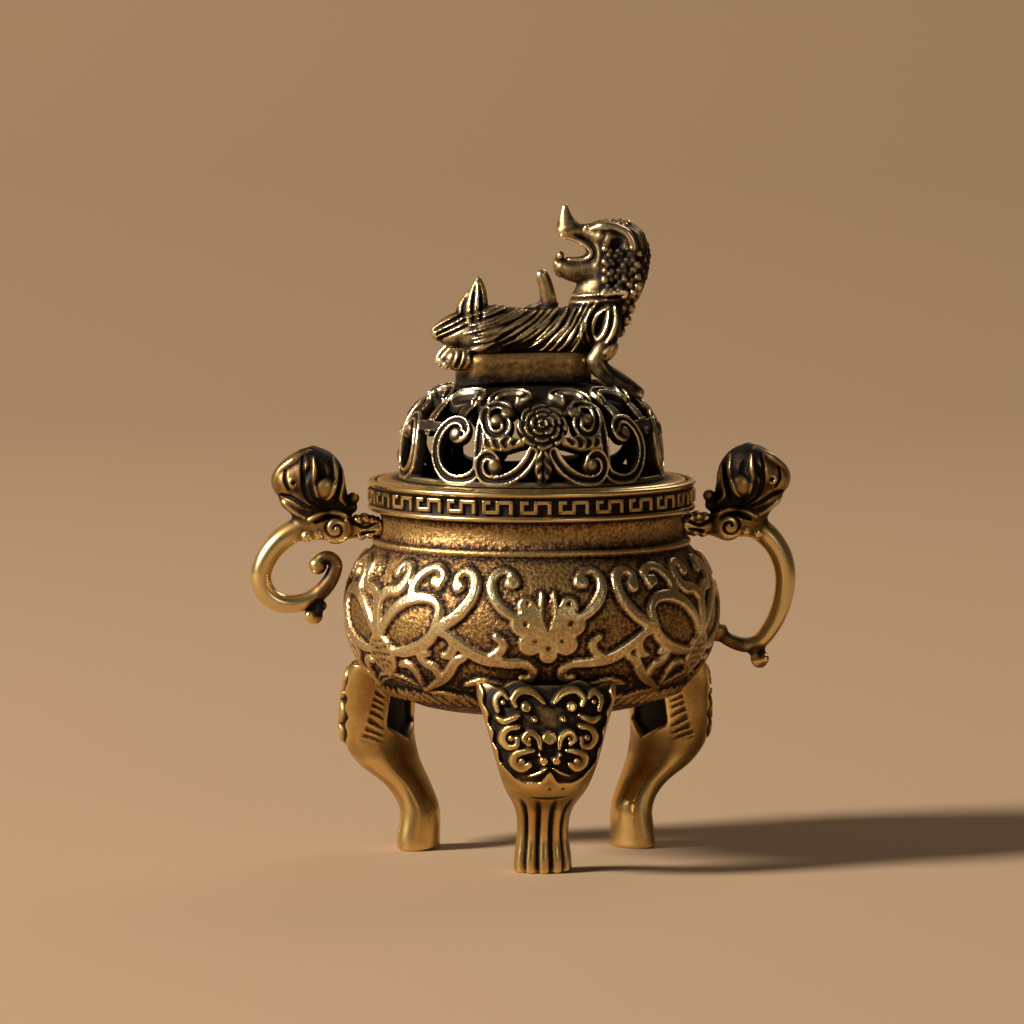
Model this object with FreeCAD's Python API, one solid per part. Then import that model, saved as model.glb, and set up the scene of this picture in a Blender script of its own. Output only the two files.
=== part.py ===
"""Miniature tripod incense burner of cast brass: a round belly on three mask legs, two beast-head
handles, and a pierced dome lid that lifts off, with a lion looking back over its body as the knob.

Millimetres, +Z up. Every piece is built about the bowl's axis with the table at z = 0, and the
finished burner is then moved so that the origin is the centre of its footprint box on the table.
"""

import FreeCAD
import Part
import math
import os

Vector = FreeCAD.Vector
UP = Vector(0, 0, 1)
ELLIPSE_WEIGHT = math.sqrt(0.5)

# Bowl: belly, shoulder bead and neck, one casting
BELLY_R = 18.1
BELLY_BEND = 9.6
BELLY_BOTTOM_Z = 14.8
SHOULDER_RISE = 6.4
WALL = 1.4
FLOOR_T = 1.5
BEAD_H = 0.7
BEAD_PROUD = 0.45
NECK_IN = 3.15
NECK_H = 3.4
NECK_WAIST = 0.25
NECK_LIP_H = 1.4
NECK_LIP_T = 0.8

# Main scrolls and flowers of the belly's relief, cast with the wall
RELIEF = 0.4
RELIEF_ROOT = 0.4
RELIEF_W = 1.05
RELIEF_EYE_R = 0.7
RELIEF_GAP = 0.5
BLOSSOM_R = 2.7
BLOSSOM_LOBES = 5
BLOSSOM_LOBE_PROUD = 0.6
PEONY_R = 2.0
PEONY_LOBES = 9
PEONY_LOBE_PROUD = 0.35

# Rim band brazed on the neck, with a sunk band for the key fret and a rebate for the lid
RIM_OVERHANG = 1.15
RIM_H = 3.0
RIM_LIP_H = 0.62
RIM_BAND_SUNK = 0.35
RIM_EDGE_T = 0.7
SEAT_DEPTH = 0.7

# Lid: seat ring with its spigot, pierced dome
LID_PLAY = 0.2
FLANGE_T = 0.8
SPIGOT_DEPTH = 1.5
SPIGOT_T = 1.1
LID_SHELF = 2.35
DOME_SIDE_H = 1.7
DOME_H = 9.7
DOME_T = 1.1
DOME_SQUARENESS = 1.4
DOME_BAND_H = 0.6
CROWN_IN = 2.95

# Openwork of the dome, drawn on flat panels that lean in with the dome; shares are of half a panel
SECTORS = 3
PANEL_LEAN = 30.0
PANEL_TOP_SHARE = 1.425
STRAND_W = 1.0
EYE_R = 0.8
STEM_W = 1.1
PANEL_LAP = 0.35
LEAST_WINDOW = 0.4
FLOWER_SHARE = 0.352
FLOWER_UP_SHARE = 0.874
FLOWER_SPOT_SHARES = (-0.935, 1.0)
FLOWER_PROUD = 0.35
FLOWER_LOBES = 8
LOBE_PROUD = 0.3

# Knob: plinth, lion and the screw that holds them
PLINTH_L = 13.4
PLINTH_W = 7.6
PLINTH_H = 2.7
PLINTH_OFFSET = -0.8
PLINTH_CORNER_R = 3.0
PLINTH_EDGE_R = 0.7
LION_H = 14.5
KNOB_SCREW_R = 1.0
KNOB_SCREW_REACH = 2.6
KNOB_HEAD_R = 1.9
KNOB_HEAD_H = 1.1
KNOB_WASHER_R = 2.9
KNOB_WASHER_T = 0.5
SPOT_FACE = 0.15

# Legs
LEG_ANGLES = {"leg_front": -90.0, "leg_rear_right": 30.0, "leg_rear_left": 150.0}
FOOT_IN = 5.8
FOOT_D = 3.9
FOOT_W = 5.6
ANKLE_D = 3.7
ANKLE_W = 5.0
KNEE_PROUD = 2.0
KNEE_W = 9.8
KNEE_D = 6.6
MASK_W = 13.4
MASK_RISE = 4.6
REEDS = 5
REED_PROUD = 0.22
REED_SPREAD = 80.0
LEG_SCREW_ANGLE = 45.0

# Handles: bracket on the neck, beast's head above it, C-scroll tail below
HANDLE_OUT = 3.45
BRACKET_W = 3.0
BRACKET_H = 2.3
VOLUTE_R = 1.75
VOLUTE_IN = 2.3
VOLUTE_PROUD = 0.3
LOOP_R = 5.9
HANDLE_T = 2.2
TAIL_T = 1.15
TAIL_FLATTEN = 1.15
TAIL_BALL_R = 0.9
BUD_R = 0.95
HEAD_H = 6.0
HEAD_UP = 4.8

# Tails of the handles: heading at the bracket, then arcs as (share of LOOP_R, sweep in degrees)
RIGHT_TAIL = (-18.0, [(1.0, -72), (1.525, -40), (0.373, -60), (0.763, -36)])
LEFT_TAIL = (-3.0, [(1.03, -69), (0.46, -106), (0.795, -77), (0.15, -190)])

# Small screws that hold legs and handles from inside the bowl
SCREW_R = 0.8
SCREW_HEAD_R = 1.55
SCREW_HEAD_H = 0.8
SCREW_GRIP = 3.0
SCREW_PLAY = 0.05
SCREW_SEAT_T = 0.9
SLOT_W = 0.4
SLOT_DEPTH = 0.35

# Sizes that follow from those above
BELLY_FLAT_R = BELLY_R - BELLY_BEND
BELLY_MID_Z = BELLY_BOTTOM_Z + BELLY_BEND
SHOULDER_Z = BELLY_MID_Z + SHOULDER_RISE
NECK_R = BELLY_R - NECK_IN
RIM_R = NECK_R + RIM_OVERHANG
SEAT_R = RIM_R - RIM_EDGE_T
DOME_R = SEAT_R - LID_SHELF
CROWN_R = DOME_R - CROWN_IN
HALF_PANEL = DOME_R * math.sin(math.pi / SECTORS / 2)
FOOT_CIRCLE_R = BELLY_R - FOOT_IN
MASK_TOP_Z = BELLY_BOTTOM_Z + MASK_RISE
BRACKET_END_R = BELLY_R + HANDLE_OUT
BRACKET_Z = SHOULDER_Z + NECK_H / 2
NECK_TOP_Z = SHOULDER_Z + NECK_H
RIM_TOP_Z = NECK_TOP_Z + RIM_H
SEAT_Z = RIM_TOP_Z - SEAT_DEPTH
DOME_Z = SEAT_Z + FLANGE_T
DOME_TOP_Z = DOME_Z + DOME_H
PLINTH_TOP_Z = DOME_TOP_Z + PLINTH_H
NECK_BORE_R = NECK_R - WALL


def at(radius, z):
    """A point of a turned profile."""
    return Vector(radius, 0, z)


def line(a, b):
    return Part.LineSegment(a, b).toShape()


def arc(a, through, b):
    return Part.Arc(a, through, b).toShape()


def conic(a, corner, b, weight=ELLIPSE_WEIGHT):
    """A smooth corner from a to b, tangent to both legs: a quarter ellipse at the default weight."""
    curve = Part.BezierCurve()
    curve.setPoles([a, corner, b])
    curve.setWeight(2, weight)
    return curve.toShape()


def polyline(points):
    return [line(a, b) for a, b in zip(points, points[1:])]


def turned(edges):
    return Part.Face(Part.Wire(edges)).revolve(Vector(), UP, 360)


def tube(outer_r, inner_r, z, height):
    outer = Part.makeCylinder(outer_r, height, Vector(0, 0, z))
    return outer.cut(Part.makeCylinder(inner_r, height, Vector(0, 0, z)))


def bulge(wide_r, wide_z, end_r, end_z):
    """A round arc that is upright at its widest point and runs to a narrower end."""
    reach = wide_r - end_r
    rise = end_z - wide_z
    radius = (reach * reach + rise * rise) / (2 * reach)
    half = math.asin(rise / radius) / 2
    middle = at(wide_r - radius + radius * math.cos(half), wide_z + radius * math.sin(half))
    return arc(at(wide_r, wide_z), middle, at(end_r, end_z))


def round_edge(shape, radius, z):
    """The round edge of a turned shape at a radius and a height."""
    for edge in shape.Edges:
        box = edge.BoundBox
        level = abs(box.ZMax - z) < 1e-6 and abs(box.ZMin - z) < 1e-6
        if level and abs(box.XMax - radius) < 1e-3:
            return edge
    raise ValueError("no round edge at this radius and height")


def ellipse_wire(centre, u, v):
    """A closed ellipse with the half axes u and v, in four edges that start at centre + u."""
    corners = [(u, v), (v, -u), (-u, -v), (-v, u)]
    edges = [conic(centre + a, centre + a + b, centre + b) for a, b in corners]
    return Part.Wire(edges)


def ellipsoid(centre, rx, ry, rz):
    ball = Part.makeSphere(1)
    matrix = FreeCAD.Matrix()
    matrix.scale(rx, ry, rz)
    matrix.move(centre)
    return ball.transformGeometry(matrix)


def limb(stations, side=Vector(0, 1, 0)):
    """A tapering round form through stations (centre, half width, half depth), square to its line.
    The half width lies along side."""
    wires = []
    for i, (centre, half_w, half_d) in enumerate(stations):
        before = stations[max(i - 1, 0)][0]
        after = stations[min(i + 1, len(stations) - 1)][0]
        run = (after - before).normalize()
        across = (side - run * side.dot(run)).normalize()
        wires.append(ellipse_wire(centre, across * half_w, run.cross(across) * half_d))
    return Part.makeLoft(wires, True, False)


def joined(shapes):
    """The shapes as one solid, or all of their solids if some stand apart."""
    fused = shapes[0].multiFuse(shapes[1:])
    return fused.Solids[0] if len(fused.Solids) == 1 else fused


def polar(shape, angle):
    turned_shape = shape.copy()
    turned_shape.rotate(Vector(), UP, angle)
    return turned_shape


def along(shape, axis, origin):
    """A shape built up the Z axis, laid along another axis from an origin."""
    laid = shape.copy()
    turn = FreeCAD.Rotation(UP, axis)
    laid.Placement = FreeCAD.Placement(origin, turn).multiply(laid.Placement)
    return laid


# Bowl


def belly_edges(inset, floor):
    """Outline of the belly from its bottom to the shoulder, set in by a wall."""
    bottom = BELLY_BOTTOM_Z + floor
    wide = BELLY_R - inset
    shoulder = NECK_BORE_R if inset else NECK_R + BEAD_PROUD
    return [
        line(at(0, bottom), at(BELLY_FLAT_R, bottom)),
        conic(at(BELLY_FLAT_R, bottom), at(wide, bottom), at(wide, BELLY_MID_Z)),
        bulge(wide, BELLY_MID_Z, shoulder, SHOULDER_Z),
    ]


def neck_edges():
    """Outside of the shoulder bead and of the waisted neck."""
    bead_r = NECK_R + BEAD_PROUD
    bead_top = SHOULDER_Z + BEAD_H
    bead_mid = at(bead_r + BEAD_PROUD / 2, SHOULDER_Z + BEAD_H / 2)
    waist = at(NECK_R - NECK_WAIST, (bead_top + NECK_TOP_Z) / 2)
    return [
        arc(at(bead_r, SHOULDER_Z), bead_mid, at(bead_r, bead_top)),
        line(at(bead_r, bead_top), at(NECK_R, bead_top)),
        arc(at(NECK_R, bead_top), waist, at(NECK_R, NECK_TOP_Z)),
    ]


def bowl_filled():
    """The bowl's outside as a full solid, which legs and handles are fitted to."""
    edges = belly_edges(0, 0) + neck_edges()
    edges += polyline([at(NECK_R, NECK_TOP_Z), at(0, NECK_TOP_Z), at(0, BELLY_BOTTOM_Z)])
    return turned(edges)


def bowl_shell():
    lip_r = NECK_BORE_R + NECK_LIP_T
    lip_z = NECK_TOP_Z + NECK_LIP_H
    lip = [at(NECK_R, NECK_TOP_Z), at(lip_r, NECK_TOP_Z), at(lip_r, lip_z), at(NECK_BORE_R, lip_z)]
    inside = belly_edges(WALL, FLOOR_T)
    edges = belly_edges(0, 0) + neck_edges() + polyline(lip)
    edges += [line(at(NECK_BORE_R, lip_z), at(NECK_BORE_R, SHOULDER_Z))] + inside[::-1]
    edges += [line(at(0, BELLY_BOTTOM_Z + FLOOR_T), at(0, BELLY_BOTTOM_Z))]
    return turned(edges)


def belly_skin(proud):
    """The belly as a full solid that stands proud of the real one, or is set in by a negative value."""
    reach = BELLY_R - NECK_R - BEAD_PROUD
    bend = (reach ** 2 + SHOULDER_RISE ** 2) / (2 * reach)
    wide = BELLY_R + proud
    shoulder = BELLY_R - bend + math.sqrt((bend + proud) ** 2 - SHOULDER_RISE ** 2)
    bottom = BELLY_BOTTOM_Z - proud
    edges = [
        line(at(0, bottom), at(BELLY_FLAT_R, bottom)),
        conic(at(BELLY_FLAT_R, bottom), at(wide, bottom), at(wide, BELLY_MID_Z)),
        bulge(wide, BELLY_MID_Z, shoulder, SHOULDER_Z),
    ]
    return turned(edges + polyline([at(shoulder, SHOULDER_Z), at(0, SHOULDER_Z), at(0, bottom)]))


def relief_zone():
    """The thin band that the relief is cut from: above the masks and below the shoulder bead."""
    low = MASK_TOP_Z + RELIEF_GAP
    slab = Part.makeCylinder(2 * BELLY_R, SHOULDER_Z - RELIEF_GAP - low, Vector(0, 0, low))
    return belly_skin(RELIEF).cut(belly_skin(-RELIEF_ROOT)).common(slab)


def tail_rest():
    """The place on the belly that is left plain, where the right handle's tail rests."""
    rest = tail_points(*RIGHT_TAIL)[-1]
    foot = Vector(BELLY_R / 2, 0, rest.z)
    return Part.makeCylinder(TAIL_BALL_R + RELIEF_GAP, BELLY_R, foot, Vector(1, 0, 0))


def through_belly(face, angle):
    """A flat drawing, its second axis the height over the belly's widest place, pushed through a side."""
    return pushed(face, at(BELLY_R, BELLY_MID_Z), 0.0, BELLY_R / 2, angle)


def belly_scrolls():
    """The main scrolls of half a sector, from the blossom over a leg to the peony between two legs.
    They were drawn for one belly, and grow with it."""
    drawn_r = 18.1
    return drawn_lines(BELLY_R / drawn_r, [
        ((-7.0, 0.6), 15, [(4.0, 75), (1.0, 210)]),
        ((1.4, -0.4), 160, [(5.5, -62), (0.95, -210)]),
        ((1.2, -0.3), 219, [(14.5, -35)]),
        ((8.5, -1.1), 115, [(6.0, 65), (1.6, 80), (3.4, 90), (8.0, 15)]),
        ((4.9, 2.8), 85, [(2.2, 95), (0.9, 150)]),
        ((8.9, 1.9), 140, [(2.5, 40), (1.6, -100), (0.85, -170)]),
    ])


def belly_relief():
    """The main scrolls and flowers, as solids that are rooted in the belly's wall."""
    zone = relief_zone()
    half_sector = 180.0 / SECTORS
    strands = []
    for arcs in belly_scrolls():
        strands += [strand_face(arcs, RELIEF_W), disc_face(walk_end(arcs), RELIEF_EYE_R)]
    panel = Part.makePlane(2 * BELLY_R, 2 * BELLY_R, Vector(-BELLY_R, -BELLY_R, 0))
    drawing = panel.cut(panel.cut(strands))
    blossom = scalloped_face((0, -0.01 * BELLY_R), BLOSSOM_R, BLOSSOM_LOBES, BLOSSOM_LOBE_PROUD)
    peony = scalloped_face((0, -0.18 * BELLY_R), PEONY_R, PEONY_LOBES, PEONY_LOBE_PROUD)
    right = [through_belly(face, half_sector / 2).common(zone) for face in drawing.Faces]
    sector = right + [solid.mirror(Vector(), Vector(0, 1, 0)) for solid in right]
    sector += [through_belly(blossom, 0).common(zone), through_belly(peony, half_sector).common(zone)]
    plain = tail_rest()
    raised = []
    for i in range(SECTORS):
        for solid in sector:
            placed = polar(solid, 2 * half_sector * i - 90.0)
            near = placed.BoundBox.intersect(plain.BoundBox)
            raised.append(placed.cut(plain) if near else placed)
    return raised


def bowl():
    shell = bowl_shell()
    for origin, axis in leg_screw_lines() + handle_screw_lines():
        shell = shell.cut(screw_passage(origin, axis))
    return joined([shell] + belly_relief())


# Screws


def screw(radius, reach, head_r, head_h):
    """A slotted pan-head screw: the seat of its head at z = 0, the shank up, the head below."""
    head = Part.makeCylinder(head_r, head_h, Vector(0, 0, -head_h))
    head = head.makeFillet(head_h * 0.4, [round_edge(head, head_r, -head_h)])
    shank = Part.makeCylinder(radius, reach)
    slot = Part.makeBox(2 * head_r, SLOT_W, SLOT_DEPTH, Vector(-head_r, -SLOT_W / 2, -head_h))
    return head.fuse(shank).Solids[0].cut(slot)


def small_screw(origin, axis):
    """A small screw through a wall: origin is on the outside of the wall, axis points outwards."""
    reach = SCREW_SEAT_T + SCREW_GRIP
    made = screw(SCREW_R, reach, SCREW_HEAD_R, SCREW_HEAD_H)
    return along(made, axis, origin - axis * SCREW_SEAT_T)


def screw_passage(origin, axis):
    """What a small screw takes out of the wall: its hole, and a flat seat for the head."""
    hole = Part.makeCylinder(SCREW_R + SCREW_PLAY, 2 * WALL, Vector(0, 0, -WALL))
    seat = Part.makeCylinder(SCREW_HEAD_R + SCREW_PLAY, WALL, Vector(0, 0, -SCREW_SEAT_T - WALL))
    return along(hole.fuse(seat), axis, origin)


def screw_pilot(origin, axis):
    """The hole that a small screw grips in a leg or a handle, open to the bowl's curved wall."""
    depth = WALL + SCREW_GRIP + SCREW_PLAY
    pilot = Part.makeCylinder(SCREW_R + SCREW_PLAY, depth, Vector(0, 0, -WALL))
    return along(pilot, axis, origin)


def leg_screw_lines():
    """Where each leg's screw leaves the belly, and its direction: square to the wall."""
    angle = math.radians(LEG_SCREW_ANGLE)
    normal = Vector(math.cos(angle), 0, -math.sin(angle))
    place = at(BELLY_FLAT_R, BELLY_MID_Z) + normal * BELLY_BEND
    lines = []
    for turn in LEG_ANGLES.values():
        spin = FreeCAD.Rotation(UP, turn)
        lines.append((spin.multVec(place), spin.multVec(normal)))
    return lines


def handle_screw_lines():
    out = NECK_R - NECK_WAIST
    return [(Vector(s * out, 0, BRACKET_Z), Vector(s, 0, 0)) for s in (1, -1)]


# Rim band


def rim_band():
    neck_lip_r = NECK_BORE_R + NECK_LIP_T
    lip_z = NECK_TOP_Z + NECK_LIP_H
    sunk_r = RIM_R - RIM_BAND_SUNK
    low = NECK_TOP_Z + RIM_LIP_H
    high = RIM_TOP_Z - RIM_LIP_H
    lip_low = arc(at(sunk_r, NECK_TOP_Z), at(RIM_R, NECK_TOP_Z + RIM_LIP_H / 2), at(sunk_r, low))
    lip_high = arc(at(sunk_r, high), at(RIM_R, high + RIM_LIP_H / 2), at(sunk_r, RIM_TOP_Z))
    inside = [
        at(sunk_r, RIM_TOP_Z),
        at(SEAT_R, RIM_TOP_Z),
        at(SEAT_R, SEAT_Z),
        at(NECK_BORE_R, SEAT_Z),
        at(NECK_BORE_R, lip_z),
        at(neck_lip_r, lip_z),
        at(neck_lip_r, NECK_TOP_Z),
        at(sunk_r, NECK_TOP_Z),
    ]
    return turned([lip_low, line(at(sunk_r, low), at(sunk_r, high)), lip_high] + polyline(inside))


# Lid


def lid_ring():
    """The flat ring that rests in the rim's rebate, with the spigot that centres it in the neck."""
    bore = DOME_R - DOME_T
    spigot_r = NECK_BORE_R - LID_PLAY
    flange_r = SEAT_R - LID_PLAY
    flange = tube(flange_r, bore, SEAT_Z, FLANGE_T)
    rounded = flange.makeFillet(FLANGE_T * 0.45, [round_edge(flange, flange_r, DOME_Z)])
    spigot = tube(spigot_r, spigot_r - SPIGOT_T, SEAT_Z - SPIGOT_DEPTH, SPIGOT_DEPTH)
    return rounded.fuse(spigot).Solids[0]


def dome_edges(inset):
    """Outline of the dome from its foot over the shoulder to the crown, set in by its wall."""
    radius = DOME_R - inset
    top = DOME_TOP_Z - inset
    side = DOME_Z + DOME_SIDE_H
    return [
        line(at(radius, DOME_Z), at(radius, side)),
        conic(at(radius, side), at(radius, top), at(0, top), DOME_SQUARENESS),
    ]


def dome_filled(inset=0.0):
    """The dome as a full solid, set in by a wall, or standing proud with a negative inset."""
    closing = polyline([at(0, DOME_TOP_Z - inset), at(0, DOME_Z), at(DOME_R - inset, DOME_Z)])
    return turned(dome_edges(inset) + closing)


def walk(start, heading, moves):
    """Follows tangent arcs from a point: each move is (radius, sweep in degrees), left turns positive.
    Returns (centre, radius, first angle, last angle) for every arc, in the plane's own two axes."""
    x, y = start
    angle = math.radians(heading)
    arcs = []
    for radius, sweep in moves:
        side = 1 if sweep > 0 else -1
        cx = x - side * radius * math.sin(angle)
        cy = y + side * radius * math.cos(angle)
        first = angle - side * math.pi / 2
        last = first + math.radians(sweep)
        arcs.append((cx, cy, radius, first, last))
        x = cx + radius * math.cos(last)
        y = cy + radius * math.sin(last)
        angle += math.radians(sweep)
    return arcs


def walk_end(arcs):
    cx, cy, radius, first, last = arcs[-1]
    return cx + radius * math.cos(last), cy + radius * math.sin(last)


def strand_face(arcs, width):
    """A flat strand of even width along tangent arcs, with round ends."""

    def on(a, t, shift):
        cx, cy, radius, first, last = a
        side = 1 if last > first else -1
        angle = first + (last - first) * t
        reach = radius - side * shift
        return Vector(cx + reach * math.cos(angle), cy + reach * math.sin(angle), 0)

    def cap(a, t, shift):
        cx, cy, radius, first, last = a
        angle = first + (last - first) * t
        heading = angle + math.copysign(math.pi / 2, last - first) + (0 if t else math.pi)
        tip = on(a, t, 0) + Vector(math.cos(heading), math.sin(heading), 0) * (width / 2)
        return arc(on(a, t, shift), tip, on(a, t, -shift))

    half = width / 2
    edges = [arc(on(a, 0, half), on(a, 0.5, half), on(a, 1, half)) for a in arcs]
    edges.append(cap(arcs[-1], 1, half))
    edges += [arc(on(a, 1, -half), on(a, 0.5, -half), on(a, 0, -half)) for a in arcs[::-1]]
    edges.append(cap(arcs[0], 0, -half))
    return Part.Face(Part.Wire(edges))


def disc_face(centre, radius):
    circle = Part.Circle(Vector(centre[0], centre[1], 0), UP, radius)
    return Part.Face(Part.Wire([circle.toShape()]))


def scalloped_face(centre, radius, lobes, proud):
    """A flat flower outline: equal lobes round a circle."""

    def on(share, reach):
        angle = 2 * math.pi * share / lobes
        return Vector(centre[0] + reach * math.cos(angle), centre[1] + reach * math.sin(angle), 0)

    inner = radius - proud
    edges = [arc(on(i, inner), on(i + 0.5, radius), on(i + 1, inner)) for i in range(lobes)]
    return Part.Face(Part.Wire(edges))


def pushed(face, origin, lean_angle, depth, angle):
    """A flat drawing on a panel that leans in at an origin, pushed both ways by a depth along the
    panel's normal, and turned round the bowl's axis."""
    lean = math.radians(lean_angle)
    normal = Vector(math.cos(lean), 0, math.sin(lean))
    rise = Vector(-math.sin(lean), 0, math.cos(lean))
    turn = FreeCAD.Rotation(Vector(0, 1, 0), rise, normal, "ZXY")
    laid = face.copy()
    laid.Placement = FreeCAD.Placement(origin - normal * depth, turn)
    return polar(laid.extrude(normal * 2 * depth), angle)


def through_dome(face, angle):
    return pushed(face, at(DOME_R, DOME_Z), PANEL_LEAN, DOME_R / 2, angle)


def drawn_lines(grow, drawings):
    """Tangent arcs from drawings of (start, heading, moves), grown from the size they were drawn for."""
    lines = []
    for (u, v), heading, moves in drawings:
        lines.append(walk((u * grow, v * grow), heading, [(r * grow, sweep) for r, sweep in moves]))
    return lines


def scrolls():
    """The scrolls of one panel, from the flower on its left to the strand between two panels.
    They were drawn for one width of panel, and grow with it."""
    drawn_half_panel = 6.525
    return drawn_lines(HALF_PANEL / drawn_half_panel, [
        ((2.56, 4.63), -141, [
            (0.72, -153), (1.39, -100.5), (2.98, -172.4), (1.32, -61), (50.0, -5.7), (1.16, 177),
        ]),
        ((1.75, 4.75), 0, [(5.0, 8)]),
        ((-0.28, 7.46), -90, [(3.71, -38), (0.95, -165), (0.62, -110)]),
        ((-5.53, 3.75), -73, [(4.48, 58), (2.02, 39), (1.11, 128), (0.7, 140)]),
        ((1.32, 8.55), -37, [(2.33, -57)]),
        ((6.25, 5.7), 106, [(40.0, 5)]),
        ((4.1, 5.7), 12, [(20.0, 6)]),
        ((-0.36, 3.88), 175, [(40.0, -3)]),
        ((-4.2, 4.35), -8, [(40.0, 1.5)]),
    ])


def windows():
    """The openings of one panel: what the scrolls, their eyes and the flower leave free.
    They run a little into those of the next panel."""
    left = STEM_W / 2 - HALF_PANEL
    right = HALF_PANEL + PANEL_LAP
    top = PANEL_TOP_SHARE * HALF_PANEL
    corners = [(left, DOME_BAND_H), (right, DOME_BAND_H), (right, top), (left, top)]
    points = [Vector(u, v, 0) for u, v in corners]
    panel = Part.Face(Part.Wire(polyline(points + points[:1])))
    flower_at = [share * HALF_PANEL for share in FLOWER_SPOT_SHARES]
    metal = [disc_face(flower_at, FLOWER_SHARE * HALF_PANEL)]
    for arcs in scrolls():
        metal += [strand_face(arcs, STRAND_W), disc_face(walk_end(arcs), EYE_R)]
    return [face for face in panel.cut(metal).Faces if face.Area > LEAST_WINDOW]


def openwork_zone():
    """Where the dome may be pierced: above its foot band and outside its crown plate."""
    return tube(2 * DOME_R, CROWN_R, DOME_Z + DOME_BAND_H, 2 * DOME_H)


def lid_dome():
    shell = dome_filled().cut(dome_filled(DOME_T))
    raised = dome_filled(-FLOWER_PROUD).cut(dome_filled(DOME_T / 2))
    half_sector = 180.0 / SECTORS
    right = [through_dome(face, half_sector / 2).common(openwork_zone()) for face in windows()]
    both = right + [hole.mirror(Vector(), Vector(0, 1, 0)) for hole in right]
    flower_at = (0, FLOWER_UP_SHARE * HALF_PANEL)
    outline = scalloped_face(flower_at, FLOWER_SHARE * HALF_PANEL, FLOWER_LOBES, LOBE_PROUD)
    boss = raised.common(through_dome(outline, 0))
    outer = max(boss.Solids, key=lambda solid: solid.CenterOfMass.x)
    turns = [2 * half_sector * i - 90.0 for i in range(SECTORS)]
    holes = [polar(hole, turn) for turn in turns for hole in both]
    bosses = [polar(outer, turn) for turn in turns]
    return joined([shell.cut(holes)] + bosses).cut(knob_passage())


# Knob


def knob_at(z):
    """A point on the axis of the knob's screw."""
    return Vector(PLINTH_OFFSET, 0, z)


def washer_seat_z():
    """Height of the flat under the crown that the washer bears on."""
    return DOME_TOP_Z - DOME_T + SPOT_FACE


def screw_tip_z():
    return PLINTH_TOP_Z + KNOB_SCREW_REACH


def knob_passage():
    """Hole for the knob's screw, up into the lion, and a flat seat for its washer."""
    low = washer_seat_z() - DOME_T
    hole_r = KNOB_SCREW_R + SCREW_PLAY
    hole = Part.makeCylinder(hole_r, screw_tip_z() + SCREW_PLAY - low, knob_at(low))
    return hole.fuse(Part.makeCylinder(KNOB_WASHER_R + SCREW_PLAY, DOME_T, knob_at(low)))


def knob_screw():
    seat = washer_seat_z() - KNOB_WASHER_T
    made = screw(KNOB_SCREW_R, screw_tip_z() - seat, KNOB_HEAD_R, KNOB_HEAD_H)
    made.translate(knob_at(seat))
    return made


def knob_washer():
    ring = tube(KNOB_WASHER_R, KNOB_SCREW_R + SCREW_PLAY, 0, KNOB_WASHER_T)
    ring.translate(knob_at(washer_seat_z() - KNOB_WASHER_T))
    return ring


def plinth_block():
    """The plinth before it is fitted to the dome: a rounded slab that reaches into the crown."""
    corner = knob_at(DOME_TOP_Z - DOME_T) - Vector(PLINTH_L / 2, PLINTH_W / 2, 0)
    slab = Part.makeBox(PLINTH_L, PLINTH_W, PLINTH_H + DOME_T, corner)
    upright = [e for e in slab.Edges if abs(e.tangentAt(e.FirstParameter).z) > 0.9]
    slab = slab.makeFillet(PLINTH_CORNER_R, upright)
    rim = [e for e in slab.Edges if abs(e.BoundBox.ZMin - PLINTH_TOP_Z) < 1e-6]
    return slab.makeFillet(PLINTH_EDGE_R, rim)


def plinth():
    return plinth_block().cut(dome_filled()).cut(knob_passage())


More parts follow.
